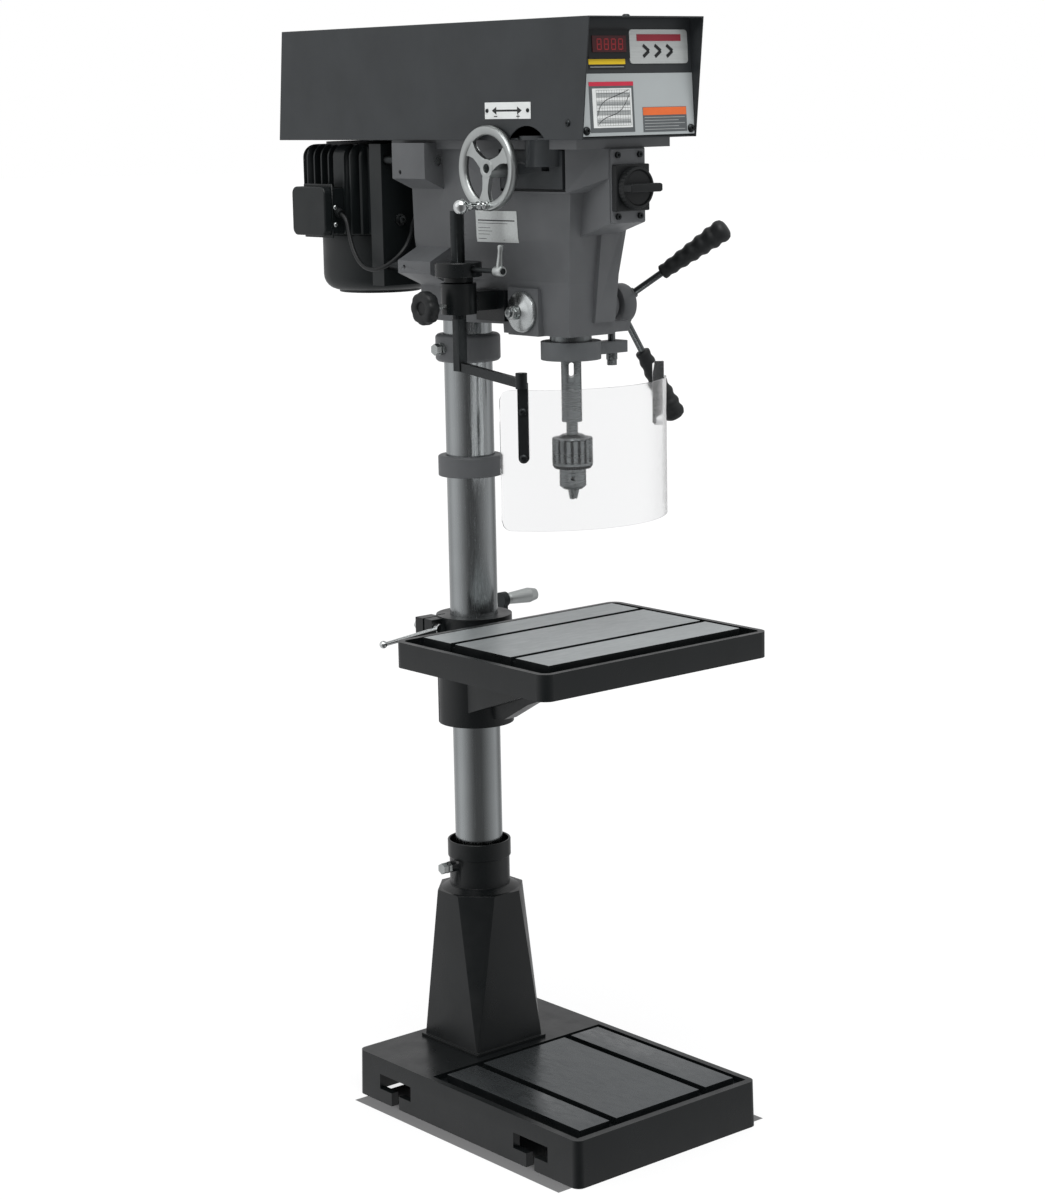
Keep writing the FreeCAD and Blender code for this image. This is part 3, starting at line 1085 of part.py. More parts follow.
def make_lead():
    """Motor lead from the wiring box round the bracket to the head: straight runs with tangent arcs."""
    points = [Vector(*point) for point in LEAD_ROUTE]
    edges = []
    here = points[0]
    for before, corner, after in zip(points, points[1:], points[2:]):
        back = (before - corner)
        ahead = (after - corner)
        shorter = min(back.Length, ahead.Length)
        turn = math.pi - back.getAngle(ahead)
        trim = 0.45 * shorter
        radius = trim / math.tan(turn / 2)
        print("lead bend radius", round(radius, 1))
        start = corner + back.normalize() * trim
        finish = corner + ahead.normalize() * trim
        towards = (back + ahead).normalize()
        middle = corner + towards * (radius / math.cos(turn / 2) - radius)
        edges.append(Part.LineSegment(here, start).toShape())
        edges.append(Part.Arc(start, middle, finish).toShape())
        here = finish
    edges.append(Part.LineSegment(here, points[-1]).toShape())
    spine = Part.Wire(edges)
    ring = Part.Wire(Part.makeCircle(LEAD_RADIUS, points[0], points[1] - points[0]))
    shape = spine.makePipeShell([ring], True, False)
    expected = math.pi * LEAD_RADIUS ** 2 * spine.Length
    print("lead length", round(spine.Length, 1), "volume ratio", round(shape.Volume / expected, 4))
    item = doc.addObject("Part::Feature", "MotorLead")
    item.Shape = shape
    node(item, "motor_lead")
    first = points[1] - points[0]
    last = points[-1] - points[-2]
    glands = []
    for spot, heading in ((points[0], first), (points[-1], last * -1)):
        gland = doc.addObject("Part::Cylinder", "Gland")
        gland.Radius = 7.5
        gland.Height = 11
        ray = Vector(heading).normalize()
        gland.Placement = FreeCAD.Placement(spot - ray * 11, Rotation(Vector(0, 0, 1), ray))
        glands.append(gland)
    node(group(*glands), "lead_glands")


# ------------------------------------------------------------------ fasteners

def make_fasteners():
    """Bolts, screws and slide rods that stay with the frame."""
    items = []
    for side in ("-rod_x", "rod_x"):
        for level in ("rod_low", "rod_high"):
            items.append(rod("rod_radius", 150, (side, -46, level), "y"))
    collar_mid = "collar_low / 2 + collar_high / 2"
    for level, face in (("neck_bolt", "-neck_boss"), (collar_mid, "-collar_radius")):
        shank = rod(5, 26, (f"{face} + 12", 0, level), "-x")
        jam = hex_head(10, 6, (f"{face} - 0.2", 0, level), "-x")
        head = hex_head(9.6, 9, (f"{face} - 8", 0, level), "-x")
        items.append(fuse(shank, jam, head))
    items.append(rod(10, 2, (-68, "bracket_front", 1475), "-y"))
    items.append(socket_screw(6.5, 6, (-68, "bracket_front - 2", 1475), "-y"))
    for x in ("-plate_half + 12", "plate_half - 12"):
        for z in ("plate_low + 9", "plate_high - 9"):
            items.append(socket_screw(4.5, 4, (x, "-box_front - 3", z), "-y"))
    return node(group(*items), "frame_fasteners")


make_base()
make_pedestal()
make_column()
make_rack_lower_ring()
make_column_collars()
make_table_rack()
make_table()
make_table_bracket()
make_table_crank()
make_crank_grip()
make_clamp_lever()
make_head_casting()
make_front_details()
make_quill()
make_quill_collar()
make_stop_rod()
make_spindle_bearings()
make_spindle()
make_chuck_body()
make_chuck_jaws()
make_chuck_sleeve()
make_pinion_shaft()
make_feed_handles()
make_spring_housing()
make_belt_cover()
make_cover_base()
make_front_panel()
make_motor()
make_motor_bracket()
make_motor_rotor()
make_pulleys()
make_belt()
make_speed_control()
make_guard()
make_lead()
make_fasteners()

doc.recompute()

faults = [item.Label for item in doc.Objects if "Invalid" in item.State or "Error" in item.State]
for item in NODES:
    if item.Shape.isNull() or not item.Shape.isValid() or not item.Shape.Solids:
        faults.append(item.Label)
if faults:
    raise SystemExit("failed: " + ", ".join(faults))

os.makedirs("parts", exist_ok=True)
for item in NODES:
    item.Shape.exportStep(f"parts/{item.Label}.step")
print(len(NODES), "nodes written")
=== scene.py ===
import json
import math

import bmesh
import bpy
from mathutils import Matrix, Vector
from mathutils.bvhtree import BVHTree


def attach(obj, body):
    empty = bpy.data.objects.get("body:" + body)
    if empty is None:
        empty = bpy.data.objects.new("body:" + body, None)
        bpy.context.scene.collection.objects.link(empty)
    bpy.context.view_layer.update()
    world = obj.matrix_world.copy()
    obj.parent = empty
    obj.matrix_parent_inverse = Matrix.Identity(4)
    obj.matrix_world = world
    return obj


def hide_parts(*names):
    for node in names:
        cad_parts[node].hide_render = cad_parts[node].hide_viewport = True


# Looks for the floor-standing drill press. Lengths in the helpers are millimetres, like the CAD source.

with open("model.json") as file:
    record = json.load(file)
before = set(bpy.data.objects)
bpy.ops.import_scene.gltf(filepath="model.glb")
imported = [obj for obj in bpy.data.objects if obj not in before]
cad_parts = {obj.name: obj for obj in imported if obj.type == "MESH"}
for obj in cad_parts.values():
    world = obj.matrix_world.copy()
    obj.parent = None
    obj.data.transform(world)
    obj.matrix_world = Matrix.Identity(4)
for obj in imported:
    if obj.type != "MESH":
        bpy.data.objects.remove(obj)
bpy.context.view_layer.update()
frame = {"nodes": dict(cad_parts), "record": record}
nodes = frame["nodes"]
MM = 0.001
scene = bpy.context.scene


def vec(x, y, z):
    return Vector((x, y, z)) * MM


# ------------------------------------------------------------------ camera

CAMERA_AT = (-2729.1, -3387.1, 1667.5)
CAMERA_YAW, CAMERA_PITCH, CAMERA_ROLL = 39.933, 10.745, -1.104
CAMERA_LENS = 79.42


def make_camera():
    yaw, pitch, roll = (math.radians(angle) for angle in (CAMERA_YAW, CAMERA_PITCH, CAMERA_ROLL))
    ahead = Vector((math.sin(yaw) * math.cos(pitch), math.cos(yaw) * math.cos(pitch), -math.sin(pitch)))
    right = ahead.cross(Vector((0, 0, 1))).normalized()
    up = right.cross(ahead)
    level = right * math.cos(roll) + up * math.sin(roll)
    raised = up * math.cos(roll) - right * math.sin(roll)
    data = bpy.data.cameras.new("camera")
    data.lens = CAMERA_LENS
    data.sensor_width = 36
    data.clip_end = 200
    data.clip_start = 0.1
    camera = bpy.data.objects.new("camera", data)
    scene.collection.objects.link(camera)
    camera.matrix_world = Matrix.Translation(vec(*CAMERA_AT)) @ Matrix((
        (level.x, raised.x, -ahead.x, 0), (level.y, raised.y, -ahead.y, 0),
        (level.z, raised.z, -ahead.z, 0), (0, 0, 0, 1)))
    scene.camera = camera


make_camera()


# ------------------------------------------------------------------ materials

def linear(hexcode):
    """Linear colour of a six-digit sRGB code."""
    values = [int(hexcode[i:i + 2], 16) / 255 for i in (0, 2, 4)]
    return tuple(v / 12.92 if v <= 0.04045 else ((v + 0.055) / 1.055) ** 2.4 for v in values)


class Finish:
    """Small builder for one Principled material on object coordinates."""

    def __init__(self, name, colour, metallic=0.0, rough=0.5, specular=0.5):
        self.material = bpy.data.materials.new(name)
        self.material.use_nodes = True
        self.tree = self.material.node_tree
        self.shader = self.tree.nodes["Principled BSDF"]
        self.colour = colour if isinstance(colour, tuple) else linear(colour)
        self.shader.inputs["Base Color"].default_value = (*self.colour, 1)
        self.shader.inputs["Metallic"].default_value = metallic
        self.shader.inputs["Roughness"].default_value = rough
        self.shader.inputs["Specular IOR Level"].default_value = specular
        self.rough = rough
        self.place = self.tree.nodes.new("ShaderNodeTexCoord").outputs["Object"]
        self.normal = None

    def noise(self, scale, detail=3.0, stretch=(1, 1, 1), roughness=0.55):
        mapping = self.tree.nodes.new("ShaderNodeMapping")
        mapping.inputs["Scale"].default_value = stretch
        self.tree.links.new(self.place, mapping.inputs["Vector"])
        noise = self.tree.nodes.new("ShaderNodeTexNoise")
        noise.inputs["Scale"].default_value = scale
        noise.inputs["Detail"].default_value = detail
        noise.inputs["Roughness"].default_value = roughness
        self.tree.links.new(mapping.outputs["Vector"], noise.inputs["Vector"])
        return noise.outputs["Fac"]

    def spread(self, factor, low, high, start=0.3, end=0.7):
        node = self.tree.nodes.new("ShaderNodeMapRange")
        node.inputs["From Min"].default_value = start
        node.inputs["From Max"].default_value = end
        node.inputs["To Min"].default_value = low
        node.inputs["To Max"].default_value = high
        self.tree.links.new(factor, node.inputs["Value"])
        return node.outputs["Result"]

    def tint(self, factor, darker, lighter, start=0.3, end=0.7):
        """Colour runs from colour * darker to colour * lighter along factor."""
        mix = self.tree.nodes.new("ShaderNodeMix")
        mix.data_type = "RGBA"
        mix.inputs["A"].default_value = (*(c * darker for c in self.colour), 1)
        mix.inputs["B"].default_value = (*(min(1, c * lighter) for c in self.colour), 1)
        self.tree.links.new(self.spread(factor, 0, 1, start, end), mix.inputs["Factor"])
        self.tree.links.new(mix.outputs["Result"], self.shader.inputs["Base Color"])
        return self

    def gloss(self, factor, low, high, start=0.3, end=0.7):
        self.tree.links.new(self.spread(factor, low, high, start, end), self.shader.inputs["Roughness"])
        return self

    def bump(self, factor, strength, distance):
        node = self.tree.nodes.new("ShaderNodeBump")
        node.inputs["Strength"].default_value = strength
        node.inputs["Distance"].default_value = distance * MM
        self.tree.links.new(factor, node.inputs["Height"])
        if self.normal is not None:
            self.tree.links.new(self.normal, node.inputs["Normal"])
        self.normal = node.outputs["Normal"]
        self.tree.links.new(self.normal, self.shader.inputs["Normal"])
        return self

    def socket(self, name, value):
        self.shader.inputs[name].default_value = value
        return self


def paint(name, colour, rough, specular, coarse, fine, distance):
    """Sprayed or cast paint: slow colour drift, an orange-peel skin and uneven gloss."""
    finish = Finish(name, colour, 0.0, rough, specular)
    finish.tint(finish.noise(9, 4), 0.86, 1.12)
    finish.gloss(finish.noise(22, 4), rough - 0.07, rough + 0.08)
    finish.bump(finish.noise(coarse, 3), 0.35, distance * 3)
    finish.bump(finish.noise(fine, 2), 0.55, distance)
    return finish.material


def ground_steel(name, colour, rough, stretch, fine=260):
    """Ground or turned metal: long scratches along one direction and faint stains."""
    finish = Finish(name, colour, 1.0, rough)
    grain = finish.noise(fine, 4, stretch)
    finish.tint(finish.noise(7, 3), 0.93, 1.05)
    finish.gloss(grain, rough - 0.08, rough + 0.12)
    finish.bump(grain, 0.25, 0.04)
    return finish.material


HEAD = paint("head_paint", "56585a", 0.44, 0.34, 90, 520, 0.10)
DARK = paint("dark_paint", "0f1213", 0.32, 0.40, 110, 700, 0.08)
COVER = paint("cover_paint", "2f3234", 0.40, 0.32, 300, 1400, 0.04)
COLLAR = paint("collar_paint", "585b5d", 0.46, 0.32, 160, 800, 0.07)
MOTOR = paint("motor_paint", "15191a", 0.42, 0.36, 120, 800, 0.08)
BLACK = paint("black_plastic", "151718", 0.46, 0.35, 200, 1500, 0.03)
GRIP = paint("grip_rubber", "1c1e1f", 0.50, 0.40, 160, 1100, 0.06)
STEEL = ground_steel("ground_steel", "7d8182", 0.26, (1, 1, 0.04))
COLUMN = ground_steel("column_steel", "a6aaab", 0.19, (1, 1, 0.05), 420)
TURNED = ground_steel("turned_steel", "767a7b", 0.22, (0.05, 0.05, 1))
BOLT = ground_steel("plated_bolt", "b4b8b7", 0.28, (1, 1, 1))
CHROME = ground_steel("polished_chrome", "d8dbdb", 0.12, (1, 1, 1), 1200)
BLACKENED = ground_steel("blackened_steel", "3a3d3e", 0.40, (1, 1, 1))
ALLOY = ground_steel("cast_alloy", "b9bdbc", 0.36, (1, 1, 1), 180)
SATIN = ground_steel("satin_steel", "c6caca", 0.26, (1, 1, 1), 1200)


def milled(name, colour, rough, across):
    """Face-milled iron: wide overlapping cutter arcs and a fine feed pattern."""
    finish = Finish(name, colour, 0.65, rough, 0.4)
    feed = finish.noise(130, 3, across)
    finish.tint(finish.noise(5, 5), 0.88, 1.08)
    finish.gloss(feed, rough - 0.06, rough + 0.1)
    finish.bump(feed, 0.06, 0.02)
    return finish.material


TABLE_TOP = milled("table_lands", "a9aeaf", 0.36, (0.3, 1, 1))
BASE_TOP = milled("base_lands", "4a4e50", 0.26, (1, 0.3, 1))


def flat_print(name, colour, rough=0.45):
    finish = Finish(name, colour, 0.0, rough, 0.4)
    finish.tint(finish.noise(40, 3), 0.95, 1.04)
    finish.bump(finish.noise(900, 2), 0.2, 0.02)
    return finish.material


PANEL_DARK = flat_print("panel_dark", "2c2f31")
PANEL_SILVER = Finish("panel_silver", "b4babb", 0.35, 0.42, 0.4)
PANEL_SILVER.tint(PANEL_SILVER.noise(6, 4), 0.94, 1.05)
PANEL_SILVER.bump(PANEL_SILVER.noise(700, 2), 0.25, 0.02)
PANEL_SILVER = PANEL_SILVER.material
PLATE = Finish("plate_aluminium", "c3c7c6", 0.5, 0.34, 0.4)
PLATE.tint(PLATE.noise(300, 3, (0.05, 1, 1)), 0.92, 1.05)
PLATE.bump(PLATE.noise(500, 3, (0.05, 1, 1)), 0.2, 0.02)
PLATE = PLATE.material
RED = flat_print("print_red", "8e2a38")
HEADER = flat_print("print_header", "bf2c44")
YELLOW = flat_print("print_yellow", "d9b81c")
ORANGE = flat_print("print_orange", "dd6a34")
WHITE = flat_print("print_white", "dcdfde")
GREY = flat_print("print_grey", "565a5c")
PALE = flat_print("print_pale", "9da1a1")
INK = flat_print("print_ink", "1b1d1e")
DIGIT = flat_print("display_digit", "8a2026", 0.3)
WINDOW = flat_print("display_window", "3c1216", 0.15)


def clear_sheet():
    """Clear polycarbonate with a faint haze."""
    finish = Finish("clear_sheet", (0.885, 0.888, 0.89), 0.0, 0.05, 0.5)
    finish.socket("Transmission Weight", 1.0)
    finish.socket("IOR", 1.45)
    finish.gloss(finish.noise(12, 3), 0.03, 0.09)
    return finish.material


CLEAR = clear_sheet()


# ------------------------------------------------------------------ mesh helpers

def aimed(at, axis):
    """Matrix that carries local Z to an axis through a point, in millimetres."""
    turn = Vector((0, 0, 1)).rotation_difference(Vector(axis).normalized())
    return Matrix.Translation(Vector(at)) @ turn.to_matrix().to_4x4()


def lathe(bm, profile, matrix, segments=64, slot=0, wave=None):
    """Turn (radius, height) points about local Z; wave(angle, radius) may move the radius."""
    rings = []
    for radius, height in profile:
        if radius < 1e-6:
            rings.append([bm.verts.new(matrix @ Vector((0, 0, height)))])
            continue
        ring = []
        for index in range(segments):
            angle = 2 * math.pi * index / segments
            reach = wave(angle, radius, height) if wave else radius
            ring.append(bm.verts.new(matrix @ Vector((reach * math.cos(angle), reach * math.sin(angle), height))))
        rings.append(ring)
    faces = []
    for low, high in zip(rings, rings[1:]):
        for index in range(segments):
            after = (index + 1) % segments
            if len(low) == 1 and len(high) == 1:
                continue
            if len(low) == 1:
                loop = [low[0], high[after], high[index]]
            elif len(high) == 1:
                loop = [low[index], low[after], high[0]]
            else:
                loop = [low[index], low[after], high[after], high[index]]
            faces.append(bm.faces.new(loop))
    for face in faces:
        face.material_index = slot
    return faces


def ring_closed(bm, profile, matrix, segments=64, slot=0, wave=None):
    """Lathe of a closed profile that doesn't touch the axis."""
    return lathe(bm, profile + [profile[0]], matrix, segments, slot, wave)


def prism(bm, points, matrix, low, high, slot=0, bevel=0.0, steps=2):
    """Polygon in local XY drawn up from low to high, with rounded edges."""
    bottom = [bm.verts.new(matrix @ Vector((x, y, low))) for x, y in points]
    top = [bm.verts.new(matrix @ Vector((x, y, high))) for x, y in points]
    faces = [bm.faces.new(list(reversed(bottom))), bm.faces.new(top)]
    count = len(points)
    for index in range(count):
        after = (index + 1) % count
        faces.append(bm.faces.new([bottom[index], bottom[after], top[after], top[index]]))
    for face in faces:
        face.material_index = slot
    if bevel:
        edges = list({edge for face in faces for edge in face.edges})
        made = bmesh.ops.bevel(bm, geom=edges, offset=bevel, segments=steps, affect="EDGES", profile=0.6)
        for face in made["faces"]:
            face.material_index = slot
    return faces


def brick(bm, low, high, slot=0, bevel=0.0, steps=2, matrix=Matrix.Identity(4)):
    """Box between two corners, with rounded edges."""
    points = [(low[0], low[1]), (high[0], low[1]), (high[0], high[1]), (low[0], high[1])]
    return prism(bm, points, matrix, low[2], high[2], slot, bevel, steps)


def circle_points(radius, count, start=0.0):
    return [(radius * math.cos(start + 2 * math.pi * i / count), radius * math.sin(start + 2 * math.pi * i / count))
            for i in range(count)]


def smooth(mesh, angle=32):
    for polygon in mesh.polygons:
        polygon.use_smooth = True
    mesh.set_sharp_from_angle(angle=math.radians(angle))


def piece(name, bm, materials, body, stands_for=(), angle=32):
    """Finish a mesh built in millimetres and let it ride on a CAD body."""
    bmesh.ops.remove_doubles(bm, verts=bm.verts, dist=0.0005)
    bmesh.ops.recalc_face_normals(bm, faces=bm.faces)
    mesh = bpy.data.meshes.new(name)
    bm.to_mesh(mesh)
    bm.free()
    mesh.transform(Matrix.Scale(MM, 4))
    for material in materials:
        mesh.materials.append(material)
    smooth(mesh, angle)
    obj = bpy.data.objects.new(name, mesh)
    scene.collection.objects.link(obj)
    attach(obj, body)
    if stands_for:
        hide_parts(*stands_for)
    return obj


record = frame["record"]
BODY_OF = {node: body for body, members in record["behaviour"]["bodies"].items() for node in members}


def coat(node, material):
    """Give a CAD node that stays visible its finish."""
    for place in nodes[node].material_slots:
        place.material = material
    mesh = nodes[node].data
    for polygon in mesh.polygons:
        polygon.use_smooth = True
    mesh.set_sharp_from_angle(angle=math.radians(30))


def eased(node, material, width, steps=3, shortest=3.0, angle=28, extra=None, paint_by=None):
    """Copy of a CAD node with its sharp edges rounded, standing for the node."""
    bm = bmesh.new()
    bm.from_mesh(nodes[node].data)
    for layer in list(bm.loops.layers.uv.values()):
        bm.loops.layers.uv.remove(layer)
    bmesh.ops.remove_doubles(bm, verts=bm.verts, dist=2e-6)
    bmesh.ops.dissolve_limit(bm, angle_limit=math.radians(1.0), verts=bm.verts, edges=bm.edges)
    weights = bm.edges.layers.float.new("bevel_weight_edge")
    limit = math.radians(angle)
    for edge in bm.edges:
        if len(edge.link_faces) == 2 and edge.calc_face_angle(0) > limit and edge.calc_length() > shortest * MM:
            edge[weights] = 1.0
    for face in bm.faces:
        face.material_index = 0
        if paint_by:
            face.material_index = paint_by(face)
    mesh = bpy.data.meshes.new(node + "_finish")
    bm.to_mesh(mesh)
    bm.free()
    for item in ([material] + list(extra or ())):
        mesh.materials.append(item)
    smooth(mesh, 32)
    obj = bpy.data.objects.new(node + "_finish", mesh)
    scene.collection.objects.link(obj)
    modifier = obj.modifiers.new("Bevel", "BEVEL")
    modifier.width = width * MM
    modifier.segments = steps
    modifier.limit_method = "WEIGHT"
    modifier.harden_normals = False
    modifier.miter_outer = "MITER_ARC"
    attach(obj, BODY_OF[node])
    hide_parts(node)
    return obj


# ------------------------------------------------------------------ carried-over and eased CAD nodes

def by_height(low):
    """Second material on faces that look up at or above a height."""
    def choose(face):
        return 1 if face.normal.z > 0.9 and min(v.co.z for v in face.verts) > low * MM else 0
    return choose


eased("base", DARK, 3.0, extra=[BASE_TOP], paint_by=by_height(81))
eased("pedestal", DARK, 4.0)
eased("rack_lower_ring", DARK, 1.2, 2, 1.0)
eased("column_collars", HEAD, 1.5, 2, 1.0)
eased("table", DARK, 2.0, extra=[TABLE_TOP], paint_by=by_height(826))
eased("table_bracket", DARK, 2.5)
eased("table_crank", BLACKENED, 1.5, 2, 2.0)
eased("head_casting", HEAD, 3.0, 3, 5.0)
eased("belt_cover", COVER, 0.8, 2)
eased("cover_base", COVER, 0.5, 1)
eased("motor_frame", MOTOR, 0.9, 2)
eased("motor_bracket", MOTOR, 1.5, 2)
eased("terminal_box", MOTOR, 2.0, 2)
eased("terminal_lid", MOTOR, 2.5, 3, 1.0)
eased("motor_cowl", MOTOR, 1.5, 2)
eased("switch_plate", HEAD, 0.8, 2)
eased("switch_base", BLACK, 2.0, 3)
eased("speed_gearbox", COVER, 1.5, 2)
eased("guard_bracket", DARK, 2.0, 3)
eased("guard_swivel", DARK, 1.5, 2, 1.0)
eased("guard_rod", BLACKENED, 0.8, 2)
eased("guard_arm", BLACKENED, 0.8, 2)
eased("quill_collar", COLLAR, 2.0, 3, 1.0)


def fastener_finish_and_shade(face):
    """The switch plate's screws are blackened; the motor's slide rods also take the dark blackened finish as painted
    shade for the dark gap between the head's lugs and the motor bracket.
    """
    spot = face.calc_center_median() / MM
    slide_rod = spot.y > 22 and 1380 < spot.z < 1580 and spot.x > -118 and abs(face.normal.y) < 0.7
    return 1 if slide_rod or spot.y < -392 else 0


eased("frame_fasteners", BOLT, 0.6, 2, 1.0, extra=[BLACKENED], paint_by=fastener_finish_and_shade)
eased("stop_rod", TURNED, 0.5, 2, 1.0)
eased("spindle", TURNED, 0.6, 2, 1.0)
eased("chuck_body", TURNED, 0.6, 2, 1.0)
eased("shift_fork", BLACKENED, 1.0, 2)
coat("column", COLUMN)
for name in ("table_rack", "quill", "speed_shaft", "motor_rotor", "chuck_jaw_1", "chuck_jaw_2", "chuck_jaw_3",
             "pinion_shaft", "spindle_bearings"):
    coat(name, STEEL)
for name in ("motor_pulley_fixed", "motor_pulley_moving", "spindle_pulley_fixed", "spindle_pulley_moving"):
    coat(name, ALLOY)
coat("v_belt", GRIP)
coat("front_panel", PANEL_DARK)
coat("speed_readout", BLACK)
coat("lead_glands", BLACK)
coat("clamp_lever", CHROME)
coat("crank_grip", ALLOY)
coat("feed_spokes", TURNED)


# ------------------------------------------------------------------ feed handles

FEED_Y, FEED_Z = -209, 1338
HUB_AT = Vector((143.5, FEED_Y, FEED_Z))
SPOKE_FIRST, SPOKE_LEAN = 39, 27


def spoke_ray(index):
    tilt = math.radians(SPOKE_FIRST + 120 * index)
    lean = math.radians(SPOKE_LEAN)
    return Vector((math.sin(lean), -math.cos(lean) * math.cos(tilt), math.cos(lean) * math.sin(tilt)))


def make_feed():
    bm = bmesh.new()
    for index in range(3):
        ray = spoke_ray(index)
        profile = [(0, 89), (9.8, 89), (11.8, 90.4), (12.2, 94), (11.2, 99)]
        ridges = 5
        for step in range(1, ridges * 8 + 1):
            along = step / (ridges * 8)
            base = 11.6 + 5.9 * along
            wave = 1.15 * math.cos(2 * math.pi * ridges * along)
            profile.append((base - wave * (0.7 + 0.5 * along), 99 + 98 * along))
        profile += [(18.4, 203), (18.2, 208), (16.2, 213), (12, 216), (6, 217), (0, 217)]
        lathe(bm, profile, aimed(HUB_AT, ray), 48)
    piece("feed_grips_finish", bm, [GRIP], "feed", ["feed_grips"], 60)
    bm = bmesh.new()
    profile = [(11.2, 129), (27, 129), (31, 130.5), (33, 134), (33, 153), (31.5, 156.5), (28, 158), (14, 158),
               (13, 157), (13, 155.4), (11.2, 155.4)]
    ring_closed(bm, profile, aimed((0, FEED_Y, FEED_Z), (1, 0, 0)), 72)
    for index in range(3):
        ray = spoke_ray(index)
        lathe(bm, [(5.6, 24), (8.5, 24), (8.5, 33.5), (7.5, 35), (5.6, 35), (5.6, 24)], aimed(HUB_AT, ray), 32)
    piece("feed_hub_finish", bm, [HEAD], "feed", ["feed_hub"])
    bm = bmesh.new()
    lathe(bm, [(0, 158.4), (10.4, 158.4), (10.4, 160.4), (9.4, 161.4), (0, 161.4)],
          aimed((0, FEED_Y, FEED_Z), (1, 0, 0)), 48)
    piece("feed_shaft_cap", bm, [TURNED], "feed")


make_feed()


# ------------------------------------------------------------------ handwheel

WHEEL = Vector((-126, -215, 1562))


def make_handwheel():
    bm = bmesh.new()
    matrix = aimed(WHEEL, (1, 0, 0))
    rim = [(50.6, -2.2), (52.4, -4.4), (55.5, -5.6), (60, -6.9), (63.3, -6.2), (64.8, -3.4), (65, 0), (64.8, 3.4),
           (63.3, 6.2), (60, 6.9), (55.5, 5.6), (52.4, 4.4), (50.6, 2.2)]
    ring_closed(bm, rim, matrix, 128)
    lathe(bm, [(7.2, 38), (15, 38), (15, -2), (14.2, -4), (9, -4.4), (7.2, -3.6), (7.2, 38)], matrix, 64)
    for angle in (37, 157, 277):
        turn = math.radians(angle)
        out = Vector((0, math.cos(turn), math.sin(turn)))
        side = Vector((0, -math.sin(turn), math.cos(turn)))
        frame_matrix = Matrix((
            (out.x, side.x, 1, WHEEL.x), (out.y, side.y, 0, WHEEL.y), (out.z, side.z, 0, WHEEL.z), (0, 0, 0, 1)))
        half = [(10, 9.5), (15, 8.2), (24, 6.8), (34, 6.6), (42, 7.6), (47.5, 10.5), (52, 16)]
        points = half + [(x, -y) for x, y in reversed(half)]
        prism(bm, points, frame_matrix, -3.6, 3.6, 0, 1.4, 2)
    lathe(bm, [(0, 5), (8, 5), (8, -7.5), (6.8, -8.6), (0, -8.6)], aimed(WHEEL + Vector((0, 0, -56)), (1, 0, 0)), 40)
    piece("handwheel_finish", bm, [ALLOY], "speed_wheel", ["handwheel"], 40)
    bm = bmesh.new()
    at = WHEEL + Vector((-9, 0, -56))
    profile = [(0, 0), (6.0, 0), (6.6, 1), (6.6, 5), (5.6, 6.4), (5.2, 9), (6.8, 12), (6.8, 14), (5.4, 16),
               (5.2, 20), (6.2, 26), (6.6, 31), (5.6, 35), (5.2, 37)]
    for step in range(0, 17):
        angle = -1.15 + step * (math.pi / 2 + 1.15) / 16
        profile.append((12 * math.cos(angle), 46 + 12 * math.sin(angle)))
    profile[-1] = (0, 58)
    lathe(bm, profile, aimed(at, (-1, 0, 0)), 56)
    piece("handwheel_handle_finish", bm, [CHROME], "wheel_handle", ["handwheel_handle"], 50)


make_handwheel()


# ------------------------------------------------------------------ return spring cap

def make_spring_cap():
    bm = bmesh.new()
    matrix = aimed((-56, FEED_Y, FEED_Z), (-1, 0, 0))
    profile = [(29.5, 0.4), (31.4, 0.4), (32, 1.2), (32, 5.0), (31.2, 6.6), (29.6, 7.4), (24, 8.2), (17, 10.4),
               (12.5, 12.8), (11.4, 13.6), (7.4, 13.6), (7.4, 11.8), (11, 11), (16, 8.4), (23.6, 6.4), (28.8, 5.4),
               (29.5, 4)]
    ring_closed(bm, profile, matrix, 96)
    lathe(bm, [(0, 0.6), (29, 0.6), (29, 1.4), (0, 1.4)], matrix, 64)
    piece("spring_cap_finish", bm, [SATIN], "frame", ["spring_housing"], 30)
    bm = bmesh.new()
    matrix = aimed((-56, FEED_Y, FEED_Z), (-1, 0, 0))
    prism(bm, circle_points(11.2, 6, 0.3), matrix, 14.2, 21.6, 0, 0.8, 2)
    prism(bm, circle_points(11.2, 6, 0.75), matrix, 22.0, 28.6, 0, 0.8, 2)
    lathe(bm, [(7.0, 28), (6.8, 31.6), (6.0, 32.4), (3.4, 32.4), (3.2, 30.2), (0, 30.2)], matrix, 40)
    piece("spring_nuts", bm, [BOLT], "feed", angle=30)


make_spring_cap()


# ------------------------------------------------------------------ rotary switch

SWITCH_Y, SWITCH_Z = -406.4, 1531


def make_switch():
    bm = bmesh.new()
    matrix = aimed((0, SWITCH_Y, SWITCH_Z), (0, -1, 0))

    def knurl(angle, radius, height):
        if radius < 30.5 or not 2 < height < 11:
            return radius
        return radius - 0.9 * (math.cos(angle * 36) > 0.2)

    lathe(bm, [(0, 0), (29, 0), (31.4, 1), (32, 2.4), (32, 10.4), (31, 12), (27.5, 13), (26, 11.6), (25.2, 10.8),
               (0, 10.8)], matrix, 216, 0, knurl)
    grip = [(-31, -6), (30, -6.6), (33.5, -4.8), (33.5, 4.8), (30, 6.6), (-31, 6)]
    side = Matrix(((1, 0, 0, 0), (0, 0, -1, SWITCH_Y), (0, 1, 0, SWITCH_Z), (0, 0, 0, 1)))
    prism(bm, grip, side, 10, 29.6, 0, 2.4, 3)
    piece("switch_knob_finish", bm, [BLACK], "switch", ["switch_knob"], 34)


make_switch()


